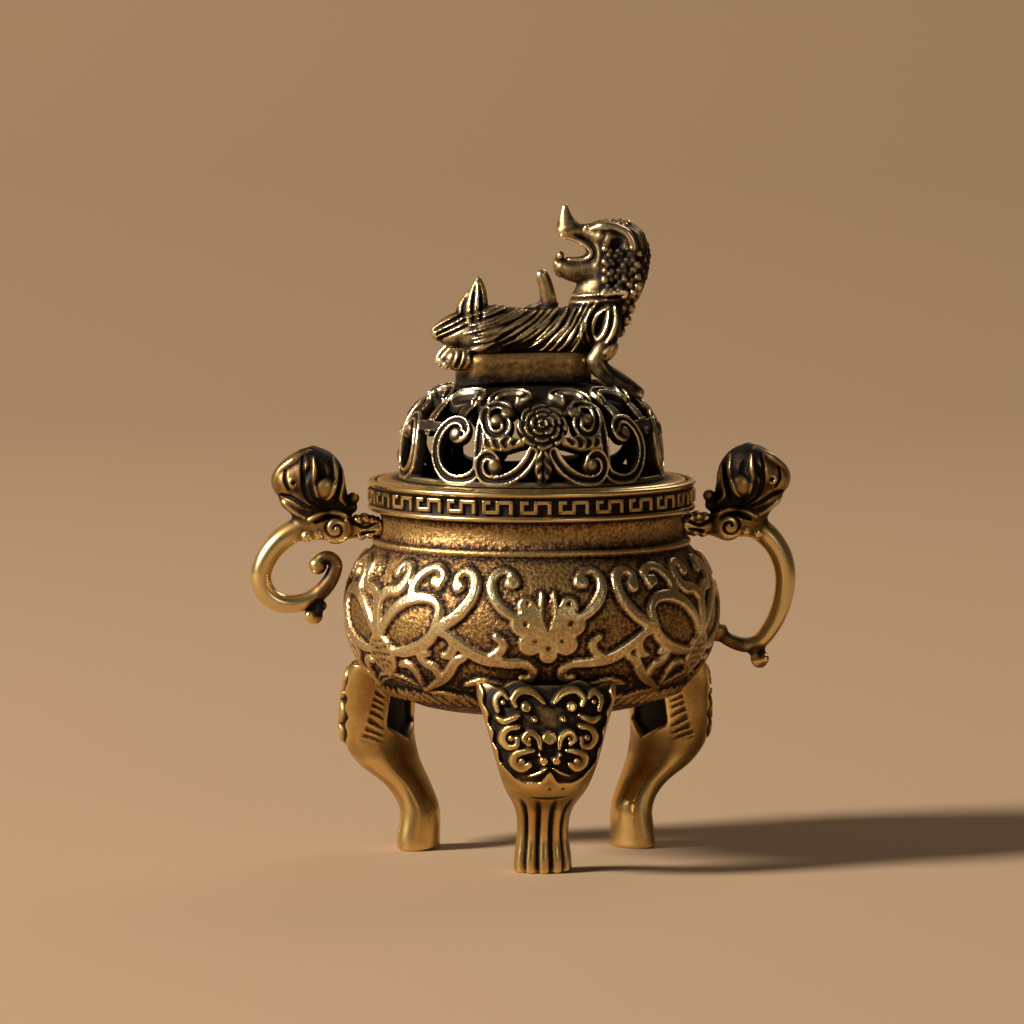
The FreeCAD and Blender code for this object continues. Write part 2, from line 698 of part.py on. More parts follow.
def lion():
    """A lion lying along the plinth, chest to the right, its head turned back over its body.
    It was drawn for one height, and grows with it."""
    drawn_h = 14.5
    z = PLINTH_TOP_Z

    def spot(x, y, up):
        return Vector(x, y, z + up)

    body = limb([
        (spot(-8.3, 0, 1.7), 1.6, 1.3),
        (spot(-6.6, 0, 1.9), 2.8, 2.5),
        (spot(-3.5, 0, 1.9), 3.2, 3.3),
        (spot(0.0, 0, 1.6), 3.0, 2.9),
        (spot(3.5, 0, 1.7), 3.0, 3.1),
        (spot(6.6, 0, 2.0), 2.8, 2.4),
    ])
    neck = limb([
        (spot(5.8, 0, 1.6), 2.8, 2.3),
        (spot(6.4, 0, 4.2), 2.9, 2.8),
        (spot(7.3, 0, 6.2), 2.7, 2.9),
        (spot(7.9, 0, 8.6), 2.5, 2.8),
    ])
    collar = limb([(spot(6.6, 0, 4.9), 3.2, 3.0), (spot(6.9, 0, 5.7), 3.1, 3.0)])
    skull = ellipsoid(spot(8.2, 0, 9.7), 3.2, 2.8, 3.2)
    mane = ellipsoid(spot(8.6, 0, 8.2), 2.4, 3.0, 4.0)
    upper_jaw = limb([
        (spot(6.8, 0, 11.1), 2.2, 1.6),
        (spot(4.6, 0, 11.8), 1.7, 0.75),
        (spot(2.9, 0, 11.9), 1.2, 0.6),
    ])
    nose = limb([
        (spot(3.5, 0, 11.9), 1.15, 1.15),
        (spot(3.3, 0, 13.0), 0.8, 0.7),
        (spot(3.5, 0, 14.4), 0.4, 0.35),
    ])
    lower_jaw = limb([
        (spot(6.8, 0, 8.5), 2.0, 1.3),
        (spot(4.6, 0, 8.3), 1.6, 0.9),
        (spot(3.0, 0, 8.6), 1.2, 0.85),
    ])
    lip = ellipsoid(spot(2.8, 0, 9.4), 0.5, 1.0, 0.8)
    tail = limb([
        (spot(-5.8, 0, 2.6), 1.5, 1.6),
        (spot(-5.6, 0, 4.9), 1.4, 1.3),
        (spot(-5.4, 0, 6.5), 0.9, 0.9),
        (spot(-5.2, 0, 7.7), 0.35, 0.3),
    ])
    plume = limb([
        (spot(-6.0, 0, 2.4), 1.6, 1.4),
        (spot(-7.8, 0, 3.0), 1.7, 1.25),
        (spot(-9.4, 0, 2.7), 1.3, 0.7),
    ])
    horn = limb([
        (spot(1.7, 0.9, 2.6), 0.9, 0.9),
        (spot(1.6, 0.9, 5.6), 0.65, 0.65),
        (spot(1.1, 0.9, 8.1), 0.45, 0.45),
    ])
    pieces = [body, neck, collar, skull, mane, upper_jaw, nose, lower_jaw, lip, tail, plume, horn]
    for side in (1, -1):
        pieces.append(ellipsoid(spot(-4.6, side * 2.2, 1.7), 2.9, 1.4, 2.1))
        pieces.append(ellipsoid(spot(-7.5, side * 2.2, 0.0), 1.35, 1.3, 1.35))
        for lock in range(5):
            back = 4.6 - 2.0 * lock
            pieces.append(limb([
                (spot(back, side * 1.9, 4.0), 0.35, 0.3),
                (spot(back - 1.0, side * 2.8, 2.6), 0.55, 0.5),
                (spot(back - 2.2, side * 3.1, 0.9), 0.3, 0.25),
            ], Vector(1, 0, 0)))
        pieces.append(ellipsoid(spot(8.7, side * 2.5, 10.4), 1.0, 0.6, 1.3))
        pieces.append(limb([
            (spot(7.2, side * 2.1, 3.7), 1.3, 1.6),
            (spot(6.9, side * 2.7, 0.9), 1.1, 1.15),
            (spot(6.6, side * 2.8, -1.5), 1.0, 1.05),
        ]))
        pieces.append(limb([
            (spot(6.4, side * 2.8, -1.6), 1.1, 1.0),
            (spot(8.6, side * 2.7, -2.7), 1.05, 0.95),
            (spot(10.2, side * 2.5, -3.5), 0.9, 0.75),
        ]))
    figure = joined(pieces).scaled(LION_H / drawn_h, knob_at(z))
    return figure.cut(plinth_block()).cut(dome_filled()).cut(knob_passage())


# Legs


def leg_section(z, middle, depth, width, reed):
    """A leg's outline at a height: reeds round the outer face, one plain arc at the back."""

    def on(angle, proud=0.0):
        a = math.radians(angle)
        x = middle + (depth / 2 + proud) * math.cos(a)
        return Vector(x, (width / 2 + proud) * math.sin(a), z)

    step = 2 * REED_SPREAD / REEDS
    edges = []
    for i in range(REEDS):
        first = -REED_SPREAD + i * step
        edges.append(arc(on(first), on(first + step / 2, reed), on(first + step)))
    edges.append(arc(on(REED_SPREAD), on(180), on(-REED_SPREAD)))
    return Part.Wire(edges)


def leg_stations():
    """Heights up a leg with (height, middle radius, depth, width, reed height)."""
    knee_r = BELLY_R + KNEE_PROUD
    rows = [
        (0.0, FOOT_CIRCLE_R, FOOT_D, FOOT_W, REED_PROUD),
        (0.062, FOOT_CIRCLE_R, FOOT_D, FOOT_W, REED_PROUD),
        (0.206, FOOT_CIRCLE_R - 0.1, ANKLE_D, ANKLE_W, REED_PROUD),
        (0.325, FOOT_CIRCLE_R + 1.1, 1.14 * ANKLE_D, 1.12 * ANKLE_W, REED_PROUD),
        (0.443, (FOOT_CIRCLE_R + knee_r) / 2 - 0.6, 0.88 * KNEE_D, 0.82 * KNEE_W, 0.0),
        (0.577, knee_r - 0.5 * KNEE_D, KNEE_D, KNEE_W, 0.0),
        (0.753, knee_r - 0.52 * KNEE_D, 0.91 * KNEE_D, (KNEE_W + MASK_W) / 2, 0.0),
        (0.897, knee_r - 0.61 * KNEE_D, 0.85 * KNEE_D, 0.99 * MASK_W, 0.0),
        (1.0, knee_r - 0.73 * KNEE_D, 0.82 * KNEE_D, MASK_W, 0.0),
    ]
    return [(share * MASK_TOP_Z, *sizes) for share, *sizes in rows]


def leg_face(z, y):
    """A point on a leg's outer face, at a height and a distance to the side."""
    stations = leg_stations()
    upper = next(i for i, station in enumerate(stations) if station[0] >= z)
    low = stations[upper - 1]
    high = stations[upper]
    share = (z - low[0]) / (high[0] - low[0])
    middle, depth, width = [a + (b - a) * share for a, b in zip(low[1:4], high[1:4])]
    return Vector(middle + depth / 2 * math.sqrt(1 - (2 * y / width) ** 2), y, z)


def leg_blank():
    """A cabriole leg that points along +X: reeded shank, knee, and the mask that spreads on the belly."""
    shank = Part.makeLoft([leg_section(*station) for station in leg_stations()], True, False)
    mask = [ellipsoid(leg_face(0.69 * MASK_TOP_Z, 0), 0.7, 1.0, 1.4)]
    for side in (1, -1):
        mask.append(ellipsoid(leg_face(0.84 * MASK_TOP_Z, side * 0.16 * MASK_W), 0.5, 1.3, 0.7))
        mask.append(ellipsoid(leg_face(0.67 * MASK_TOP_Z, side * 0.24 * MASK_W), 0.5, 0.9, 0.9))
        mask.append(ellipsoid(leg_face(0.57 * MASK_TOP_Z, side * 0.16 * MASK_W), 0.5, 1.0, 0.9))
    return joined([shank] + mask)


def legs():
    body = bowl_filled()
    blank = leg_blank()
    made = {}
    for (name, angle), (origin, axis) in zip(LEG_ANGLES.items(), leg_screw_lines()):
        made[name] = polar(blank, angle).cut(body).cut(screw_pilot(origin, axis))
    return made


# Handles


def bend_points(start, heading, moves, count):
    """Evenly spaced points along tangent arcs in the XZ plane."""
    arcs = walk(start, heading, moves)
    lengths = [a[2] * abs(a[4] - a[3]) for a in arcs]
    points = []
    for i in range(count):
        run = sum(lengths) * i / (count - 1)
        for a, length in zip(arcs, lengths):
            if run <= length + 1e-9:
                break
            run -= length
        angle = a[3] + (a[4] - a[3]) * run / length
        points.append(Vector(a[0] + a[2] * math.cos(angle), 0, a[1] + a[2] * math.sin(angle)))
    return points


def tail_points(heading, moves, count=25):
    """Points along a handle's tail, from the end of its bracket."""
    start = (BRACKET_END_R - HANDLE_T / 4, BRACKET_Z + HANDLE_T / 8)
    return bend_points(start, heading, [(LOOP_R * r, sweep) for r, sweep in moves], count)


def scroll_tail(points, bud_share, bud_drop):
    """The handle's C-scroll: a bar that thins towards its end, with a ball on it and a bud below."""
    last = len(points) - 1
    stations = []
    for i, point in enumerate(points):
        half = (HANDLE_T + (TAIL_T - HANDLE_T) * i / last) / 2
        stations.append((point, half * TAIL_FLATTEN, half))
    root = points[round(bud_share * last)]
    tip = root - UP * bud_drop * BUD_R
    stem = limb([(root, TAIL_T / 2, TAIL_T / 2), (tip, TAIL_T / 2, TAIL_T / 2)])
    return [limb(stations), Part.makeSphere(TAIL_BALL_R, points[-1]), stem, Part.makeSphere(BUD_R, tip)]


def beast_head():
    """A beast's head that looks outwards, its nape running back down onto the bracket.
    It was drawn for one height, and grows with it."""
    drawn_h = 6.0
    middle = Vector(BRACKET_END_R, 0, BRACKET_Z + HEAD_UP)

    def spot(out, y, up):
        return middle + Vector(out, y, up)

    pieces = [ellipsoid(spot(-0.1, 0, 0), 2.9, 2.7, 3.0)]
    pieces.append(limb([
        (spot(0.9, 0, -0.3), 2.4, 2.7),
        (spot(2.8, 0, -0.7), 2.0, 2.2),
        (spot(3.8, 0, -0.8), 1.5, 1.6),
    ]))
    pieces.append(limb([
        (spot(-0.7, 0, -1.0), 2.3, 2.3),
        (spot(-2.1, 0, -2.6), 1.9, 1.5),
        (spot(-3.3, 0, -3.4), 1.2, 0.9),
    ]))
    pieces.append(limb([(spot(1.1, 0, -1.4), 1.9, 2.2), (spot(0.6, 0, -4.4), 1.5, 1.9)]))
    for side in (1, -1):
        pieces.append(ellipsoid(spot(-0.5, side * 2.4, -0.4), 1.3, 0.7, 1.6))
        pieces.append(ellipsoid(spot(2.2, side * 1.7, 0.6), 0.9, 0.7, 0.6))
    return [piece.scaled(HEAD_H / drawn_h, middle - UP * HEAD_UP) for piece in pieces]


def handle(tail, bud_share, bud_drop):
    """A handle right of the bowl, one casting that seats on the neck. Its bud hangs at a share of
    the tail's length, by a share of BUD_R."""
    corner = Vector(NECK_R - WALL, -BRACKET_W / 2, BRACKET_Z - BRACKET_H / 2)
    bar = Part.makeBox(BRACKET_END_R - corner.x, BRACKET_W, BRACKET_H, corner)
    across = BRACKET_W + 2 * VOLUTE_PROUD
    volute_at = Vector(BRACKET_END_R - VOLUTE_IN, -across / 2, BRACKET_Z)
    volute = Part.makeCylinder(VOLUTE_R, across, volute_at, Vector(0, 1, 0))
    scroll = scroll_tail(tail_points(*tail), bud_share, bud_drop)
    whole = joined([bar, volute] + scroll + beast_head())
    origin, axis = handle_screw_lines()[0]
    return whole.cut(bowl_filled()).cut(screw_pilot(origin, axis))


def handle_right():
    """Its long tail comes back to rest on the belly."""
    return handle(RIGHT_TAIL, 0.75, 1.9)


def handle_left():
    """Its shorter tail curls up clear of the belly."""
    return handle(LEFT_TAIL, 0.7, 1.9).mirror(Vector(), Vector(1, 0, 0))


# Whole burner


def pieces():
    """Every piece by name, about the bowl's axis."""
    made = {
        "bowl": bowl(),
        "rim_band": rim_band(),
        "handle_left": handle_left(),
        "handle_right": handle_right(),
        "leg_screws": Part.makeCompound([small_screw(*where) for where in leg_screw_lines()]),
        "handle_screws": Part.makeCompound([small_screw(*where) for where in handle_screw_lines()]),
        "lid_ring": lid_ring(),
        "lid_dome": lid_dome(),
        "plinth": plinth(),
        "lion": lion(),
        "knob_screw": knob_screw(),
        "knob_washer": knob_washer(),
    }
    made.update(legs())
    return made


def footprint_centre(shapes):
    """Centre of the box round the burner, seen from above."""
    boxes = [shape.optimalBoundingBox(False, False) for shape in shapes]
    x = (min(box.XMin for box in boxes) + max(box.XMax for box in boxes)) / 2
    y = (min(box.YMin for box in boxes) + max(box.YMax for box in boxes)) / 2
    return Vector(x, y, 0)


def main():
    os.makedirs("parts", exist_ok=True)
    made = pieces()
    centre = footprint_centre(made.values())
    for name, shape in made.items():
        shape.translate(-centre)
        shape.exportStep("parts/" + name + ".step")
        print(name, shape.isValid(), len(shape.Solids), round(shape.Volume, 1))
    print("bowl axis", round(-centre.x, 4), round(-centre.y, 4))


if __name__ == "__main__":
    main()
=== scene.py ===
import bpy
import math
import mathutils
import numpy as np
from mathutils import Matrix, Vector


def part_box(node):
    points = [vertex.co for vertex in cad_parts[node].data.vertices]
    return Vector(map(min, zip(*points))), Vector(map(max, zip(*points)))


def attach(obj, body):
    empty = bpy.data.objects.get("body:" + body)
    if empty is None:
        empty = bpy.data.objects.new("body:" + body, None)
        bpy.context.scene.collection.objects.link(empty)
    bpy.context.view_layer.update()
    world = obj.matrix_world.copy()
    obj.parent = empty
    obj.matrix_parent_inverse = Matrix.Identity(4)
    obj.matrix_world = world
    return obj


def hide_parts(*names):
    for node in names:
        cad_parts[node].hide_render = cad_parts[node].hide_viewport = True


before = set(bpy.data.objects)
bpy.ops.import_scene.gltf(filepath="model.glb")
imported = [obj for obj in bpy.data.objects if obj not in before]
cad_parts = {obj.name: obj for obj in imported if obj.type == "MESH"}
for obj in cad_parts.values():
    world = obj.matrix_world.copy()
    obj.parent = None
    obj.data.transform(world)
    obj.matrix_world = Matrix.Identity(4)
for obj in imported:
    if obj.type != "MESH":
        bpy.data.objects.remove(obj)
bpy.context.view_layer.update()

import openvdb

# Bowl: a thin cast brass pot with a round belly, a shoulder bead and a plain waisted neck.
# The scrolls, flowers and leaves stand in low relief on a stippled ground, cast with the wall.
# The whole burner was darkened after casting, then rubbed back to bright metal on its high places.
MM = 0.001
SECTORS = 3
rim_low, rim_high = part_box("rim_band")
AXIS = np.array([(rim_low[0] + rim_high[0]) / 2, (rim_low[1] + rim_high[1]) / 2, 0.0])
BELLY_R = 18.1
BELLY_MID_Z = 24.4
BELLY_FLAT_R = 8.5
LOWER_BEND = BELLY_R - BELLY_FLAT_R
SHOULDER_R = 15.4
SHOULDER_Z = 30.8
UPPER_RISE = SHOULDER_Z - BELLY_MID_Z
UPPER_BEND = ((BELLY_R - SHOULDER_R) ** 2 + UPPER_RISE ** 2) / (2 * (BELLY_R - SHOULDER_R))
LOWER_LENGTH = LOWER_BEND * math.pi / 2
UPPER_LENGTH = UPPER_BEND * math.asin(UPPER_RISE / UPPER_BEND)
RELIEF = 0.42
RELIEF_EDGE = 0.15
BELLY_COLUMNS = 600
RELIEF_ROWS = 112
BOLD = (1, 1, 1.02)


def ease(value, low, high):
    """A smooth step from 0 at low to 1 at high."""
    t = np.clip((value - low) / (high - low), 0, 1)
    return t * t * (3 - 2 * t)


def curve(points, steps=6):
    """A smooth line through points, carrying along any further columns such as a half width."""
    p = np.array(points, float)
    p = np.vstack([2 * p[0] - p[1], p, 2 * p[-1] - p[-2]])
    t = np.linspace(0, 1, steps, endpoint=False)[:, None]
    spans = []
    for a, b, c, d in zip(p, p[1:], p[2:], p[3:]):
        bend = (2 * a - 5 * b + 4 * c - d) * t ** 2 + (3 * b - a - 3 * c + d) * t ** 3
        spans.append(0.5 * (2 * b + (c - a) * t + bend))
    return np.vstack(spans + [p[-2:-1]])


def strand(x, y, line, stretch=1.0):
    """How deep each place lies inside a strand along a line of (x, y, half width)."""
    depth = np.full(np.broadcast(x, y).shape, -9.0)
    for (ax, ay, aw), (bx, by, bw) in zip(line, line[1:]):
        dx = (bx - ax) * stretch
        dy = by - ay
        reach = np.maximum(dx * dx + dy * dy, 1e-9)
        share = np.clip(((x - ax * stretch) * dx + (y - ay) * dy) / reach, 0, 1)
        gap = np.hypot(x - ax * stretch - share * dx, y - ay - share * dy)
        depth = np.maximum(depth, aw + (bw - aw) * share - gap)
    return depth


def spot(x, y, half):
    """A round dot, as a strand of no length."""
    return [(x, y, half), (x, y, half)]


def blurred(field, reach):
    """A running mean along every axis, twice, over reach places to each side."""
    width = 2 * reach + 1
    for axis in list(range(field.ndim)) * 2:
        pad = [(0, 0)] * field.ndim
        pad[axis] = (reach + 1, reach)
        total = np.cumsum(np.pad(field, pad, mode="edge"), axis=axis)
        ends = np.take(total, range(width, total.shape[axis]), axis=axis)
        field = (ends - np.take(total, range(total.shape[axis] - width), axis=axis)) / width
    return field


def run_at(z):
    """Length along the belly's wall from the edge of its flat bottom up to a height."""
    if z < BELLY_MID_Z:
        return LOWER_BEND * math.acos((BELLY_MID_Z - z) / LOWER_BEND)
    return LOWER_LENGTH + UPPER_BEND * math.asin((z - BELLY_MID_Z) / UPPER_BEND)


def belly_at(run):
    """Radius, height and outward slope of the belly's wall at a length along it."""
    lower = run / LOWER_BEND
    upper = (run - LOWER_LENGTH) / UPPER_BEND
    low = run < LOWER_LENGTH
    tilt = np.where(low, lower - math.pi / 2, upper)
    bend = np.where(low, LOWER_BEND, UPPER_BEND)
    r = np.where(low, BELLY_FLAT_R, BELLY_R - UPPER_BEND) + bend * np.cos(tilt)
    return r, BELLY_MID_Z + bend * np.sin(tilt), tilt


# Half of one sector of the relief as (distance round the belly, height, half width), from the
# flower over a leg to the peony between two legs; the other half is its mirror image.
scrolls = [
    [(2.3, 25.0, 0.35), (3.2, 25.3, 0.4), (4.5, 26.2, 0.48), (5.5, 27.6, 0.48), (5.6, 28.9, 0.42),
     (4.8, 29.6, 0.38), (3.8, 29.4, 0.34), (3.3, 28.8, 0.4)],
    [(9.2, 28.1, 0.5), (9.3, 29.0, 0.4), (8.4, 29.5, 0.42), (7.4, 28.8, 0.48), (7.5, 27.2, 0.52),
     (8.8, 25.5, 0.56), (10.2, 24.5, 0.5), (10.9, 24.0, 0.35)],
    [(10.7, 24.1, 0.35), (9.6, 23.2, 0.5), (8.0, 22.1, 0.58), (6.4, 21.3, 0.6), (4.2, 20.9, 0.52),
     (2.4, 20.8, 0.45), (1.5, 20.2, 0.42), (1.7, 19.4, 0.4), (2.6, 19.4, 0.35)],
    [(5.8, 21.3, 0.4), (4.6, 22.1, 0.42), (4.4, 22.9, 0.38), (5.0, 23.4, 0.35)],
    [(18.3, 23.3, 0.4), (17.3, 24.7, 0.5), (15.8, 26.0, 0.55), (13.9, 26.8, 0.58), (12.0, 26.8, 0.5),
     (11.0, 26.1, 0.45), (11.0, 25.0, 0.5), (11.7, 23.3, 0.55), (13.4, 22.1, 0.55), (15.4, 21.5, 0.5),
     (16.9, 21.4, 0.35)],
    [(14.4, 27.0, 0.5), (14.3, 28.2, 0.5), (13.4, 29.3, 0.48), (12.0, 29.7, 0.42), (11.0, 29.0, 0.4),
     (11.3, 28.0, 0.38)],
    [(18.95, 22.5, 0.5), (18.95, 24.8, 0.6), (18.9, 26.6, 0.6)],
    [(18.9, 26.3, 0.55), (17.8, 27.2, 0.55), (16.3, 27.4, 0.55), (15.5, 28.4, 0.5), (15.6, 29.5, 0.42),
     (16.6, 29.8, 0.4), (17.3, 29.2, 0.38)],
    [(11.1, 23.7, 0.3), (9.9, 23.4, 0.42), (9.4, 22.5, 0.45), (9.9, 21.6, 0.42), (10.6, 21.4, 0.3)],
    [(14.5, 17.8, 0.15), (11.9, 18.8, 0.42), (10.4, 19.8, 0.48), (9.4, 20.9, 0.45), (8.4, 21.4, 0.35)],
    [(11.7, 18.9, 0.35), (11.9, 20.1, 0.45), (12.9, 20.6, 0.45), (13.4, 21.3, 0.38), (12.4, 21.6, 0.34)],
    [(14.4, 18.5, 0.3), (14.6, 19.7, 0.38), (15.4, 20.3, 0.4), (16.4, 20.2, 0.3)],
    [(19.0, 19.0, 0.3), (16.6, 18.6, 0.42), (14.2, 17.7, 0.12)],
    [(14.2, 17.7, 0.12), (11.7, 17.5, 0.4), (9.2, 17.1, 0.1)],
    [(9.0, 18.6, 0.12), (7.0, 19.0, 0.4), (4.8, 18.8, 0.12)],
    [(0.25, 25.0, 0.6), (0.4, 26.4, 0.5), (0.65, 27.7, 0.12)],
]
scrolls = [curve(points) * BOLD for points in scrolls]
scrolls += [spot(3.5, 28.6, 0.7), spot(9.1, 28.1, 0.68), spot(11.8, 28.4, 0.58), spot(17.2, 29.0, 0.58)]
scrolls += [spot(0, 24.0, 2.15), spot(2.4, 24.7, 1.2), spot(1.7, 22.8, 1.15), spot(0, 21.7, 0.85)]
scrolls += [curve([(1.0, 25.0, 0.8), (2.1, 26.4, 0.85)]), spot(18.95, 21.1, 1.7)]
for lobe in range(9):
    turn = math.pi * (lobe + 0.5) / 4.5
    scrolls.append(spot(18.95 + 1.5 * math.cos(turn), 21.1 + 1.5 * math.sin(turn), 0.55))
for leaf in range(13):
    start = 0.4 + 1.5 * leaf
    scrolls.append(curve([(start, 16.4, 0.12), (start + 0.6, 16.9, 0.36), (start + 1.5, 17.5, 0.1)], 4))
pits = [spot(2.15, 24.75, 0.24), spot(2.0, 26.6, 0.2), spot(0, 22.4, 0.2), spot(1.25, 23.1, 0.14)]
pits += [spot(18.95, 21.1, 0.2), curve([(0, 27.2, 0.35), (0, 25.8, 0.55), (0, 24.2, 0.1)])]
for ring, count in ((0.65, 6), (1.25, 10)):
    for dot in range(count):
        turn = 2 * math.pi * dot / count
        pits.append(spot(18.95 + ring * math.cos(turn), 21.1 + ring * math.sin(turn), 0.15))
pits += [curve([(18.6, 18.95, 0.06), (16.6, 18.6, 0.12), (14.8, 17.95, 0.06)], 4)]


def on_belly(lines):
    """Lines drawn by height, as lines of (angle round the axis, length along the wall, half width)."""
    return [[(u / BELLY_R, run_at(z), half) for u, z, half in line] for line in lines]


def repeated(angle, run, radius, lines):
    """How deep each place lies inside lines that are mirrored at both edges of half a sector."""
    depth = np.full(np.broadcast(angle, run).shape, -9.0)
    half_sector = math.pi / SECTORS
    for line in lines:
        for mirrored in (angle, -angle, 2 * half_sector - angle):
            depth = np.maximum(depth, strand(mirrored * radius, run, line, radius))
    return depth


half_columns = BELLY_COLUMNS // (2 * SECTORS)
half_angles = np.linspace(0, math.pi / SECTORS, half_columns + 1)[None, :]
first_run = run_at(15.9)
runs = np.linspace(first_run, LOWER_LENGTH + UPPER_LENGTH, RELIEF_ROWS)
radii, heights, tilts = belly_at(runs)
raised = repeated(half_angles, runs[:, None], radii[:, None], on_belly(scrolls))
sunk = repeated(half_angles, runs[:, None], radii[:, None], on_belly(pits))
half_relief = RELIEF * ease(raised, -RELIEF_EDGE, RELIEF_EDGE)
half_relief -= 0.6 * RELIEF * ease(sunk, -0.1, 0.1)
on_top = 0.76 + 0.2 * np.exp(-((raised - 0.1) / 0.12) ** 2) - 0.5 * ease(sunk, -0.15, 0.05)
# The ground darkens next to the relief as painted shade along the relief's edges, and is lighter further out.
ground_and_edge_shade = 0.02 + 0.43 * ease(-raised, 0.1, 0.7)
half_wear_and_shade = ground_and_edge_shade + (on_top - ground_and_edge_shade) * ease(raised, -0.12, 0.04)


def all_round(half):
    """A table of half a sector, mirrored to a sector and repeated round the belly."""
    return np.tile(np.hstack([half, half[:, -2:0:-1]]), (1, SECTORS))


fade = ease(runs, first_run, first_run + 0.5) * ease(-runs, -runs[-1], -runs[-1] + 0.5)
relief = all_round(half_relief) * fade[:, None]
# Darker just below the shoulder bead, and painted shade that darkens the lower belly towards its bottom.
relief_wear_and_shade = all_round(half_wear_and_shade) - 0.3 * ease(heights, 29.9, 30.7)[:, None]
relief_wear_and_shade = relief_wear_and_shade - 0.12 * ease(-heights, -20.5, -18.0)[:, None]
relief_wear_and_shade = relief_wear_and_shade - 0.2 * ease(-heights, -21.5, -17.5)[:, None]
column_angles = -math.pi / 2 + 2 * math.pi * np.arange(BELLY_COLUMNS) / BELLY_COLUMNS


def new_piece(name, points, faces, wear):
    """A smooth-shaded object of points in millimetres about the axis, with how far each is rubbed, together
    with its painted shade and highlights, as one value per point.
    """
    mesh = bpy.data.meshes.new(name)
    mesh.from_pydata((np.asarray(points) * MM + AXIS).tolist(), [], np.asarray(faces).tolist())
    mesh.shade_smooth()
    rubbing_and_painted_light = mesh.attributes.new("wear", "FLOAT", "POINT")
    rubbing_and_painted_light.data.foreach_set("value", np.asarray(wear, np.float32))
    piece = bpy.data.objects.new(name, mesh)
    bpy.context.scene.collection.objects.link(piece)
    return piece


def turned_faces(rows, columns, closed):
    """Quads of a turned grid whose rows run up the outside, and back to the first row if closed."""
    last = rows if closed else rows - 1
    lower = np.arange(last)[:, None] * columns
    upper = (np.arange(last)[:, None] + 1) % rows * columns
    here = np.arange(columns)[None, :]
    after = (here + 1) % columns
    return np.stack([lower + here, lower + after, upper + after, upper + here], -1).reshape(-1, 4)


def ring_points(radius, height, angles):
    """Points round the axis: one row of them for every radius and height."""
    x = radius * np.cos(angles)[None, :]
    y = radius * np.sin(angles)[None, :]
    return np.stack([x, y, np.broadcast_to(height, x.shape)], -1)


relief_r = radii[:, None] + relief * np.cos(tilts)[:, None]
relief_z = heights[:, None] + relief * np.sin(tilts)[:, None]
relief_points = ring_points(relief_r, relief_z, column_angles)
underside = [(0.01, 14.8), (3.0, 14.8), (6.0, 14.8), (BELLY_FLAT_R, 14.8), (9.8, 14.89), (11.2, 15.2)]
# Neck rows are (radius, height, how far it is rubbed); the lighter middle of its waist is a painted
# highlight, and the rows darkening up to the rim are painted shade under it.
neck = [
    (15.4, 30.8, 0.24), (15.55, 30.9, 0.44), (15.62, 31.1, 0.69), (15.6, 31.3, 0.64), (15.45, 31.45, 0.39),
    (15.1, 31.5, 0.14), (14.95, 31.55, 0.14), (14.86, 31.8, 0.29), (14.75, 32.3, 0.5), (14.7, 32.85, 0.54),
    (14.75, 33.4, 0.5), (14.86, 33.8, 0.34), (14.95, 34.15, 0.19), (14.4, 34.2, 0.24), (14.35, 35.6, 0.24),
    (13.55, 35.6, 0.34),
]
inside = [(13.55, 33.0), (13.55, 30.9), (14.6, 29.6), (15.7, 27.8), (16.45, 26.0), (16.7, 24.4), (16.3, 21.6),
          (15.2, 19.2), (13.6, 17.6), (11.4, 16.6), (8.5, 16.3), (4.0, 16.3), (0.01, 16.3)]


def plain_rings(profile):
    """Rings of points without relief along a profile that begins with (radius, height)."""
    return [ring_points(np.array([[row[0]]]), row[1], column_angles) for row in profile]


rings = plain_rings(underside) + [relief_points] + plain_rings(neck) + plain_rings(inside)
bowl_points = np.concatenate(rings).reshape(-1, 3)
bowl_wear_and_painted_light = [np.full((len(underside), BELLY_COLUMNS), 0.3), relief_wear_and_shade]
bowl_wear_and_painted_light += [np.full((1, BELLY_COLUMNS), rubbing_and_painted_light) for r, z, rubbing_and_painted_light in neck]
bowl_wear_and_painted_light += [np.full((len(inside), BELLY_COLUMNS), 0.22)]
bowl_faces = turned_faces(len(bowl_points) // BELLY_COLUMNS, BELLY_COLUMNS, False)
bowl = new_piece("bowl_relief", bowl_points, bowl_faces, np.concatenate(bowl_wear_and_painted_light).ravel())


def add_node(tree, kind, place, inputs=None, **settings):
    """A node at a place in its tree; an input takes a value or is linked to another node's socket."""
    node = tree.nodes.new(kind)
    node.location = place
    for name, value in settings.items():
        setattr(node, name, value)
    for socket, value in (inputs or {}).items():
        if isinstance(value, bpy.types.NodeSocket):
            tree.links.new(value, node.inputs[socket])
        else:
            node.inputs[socket].default_value = value
    return node


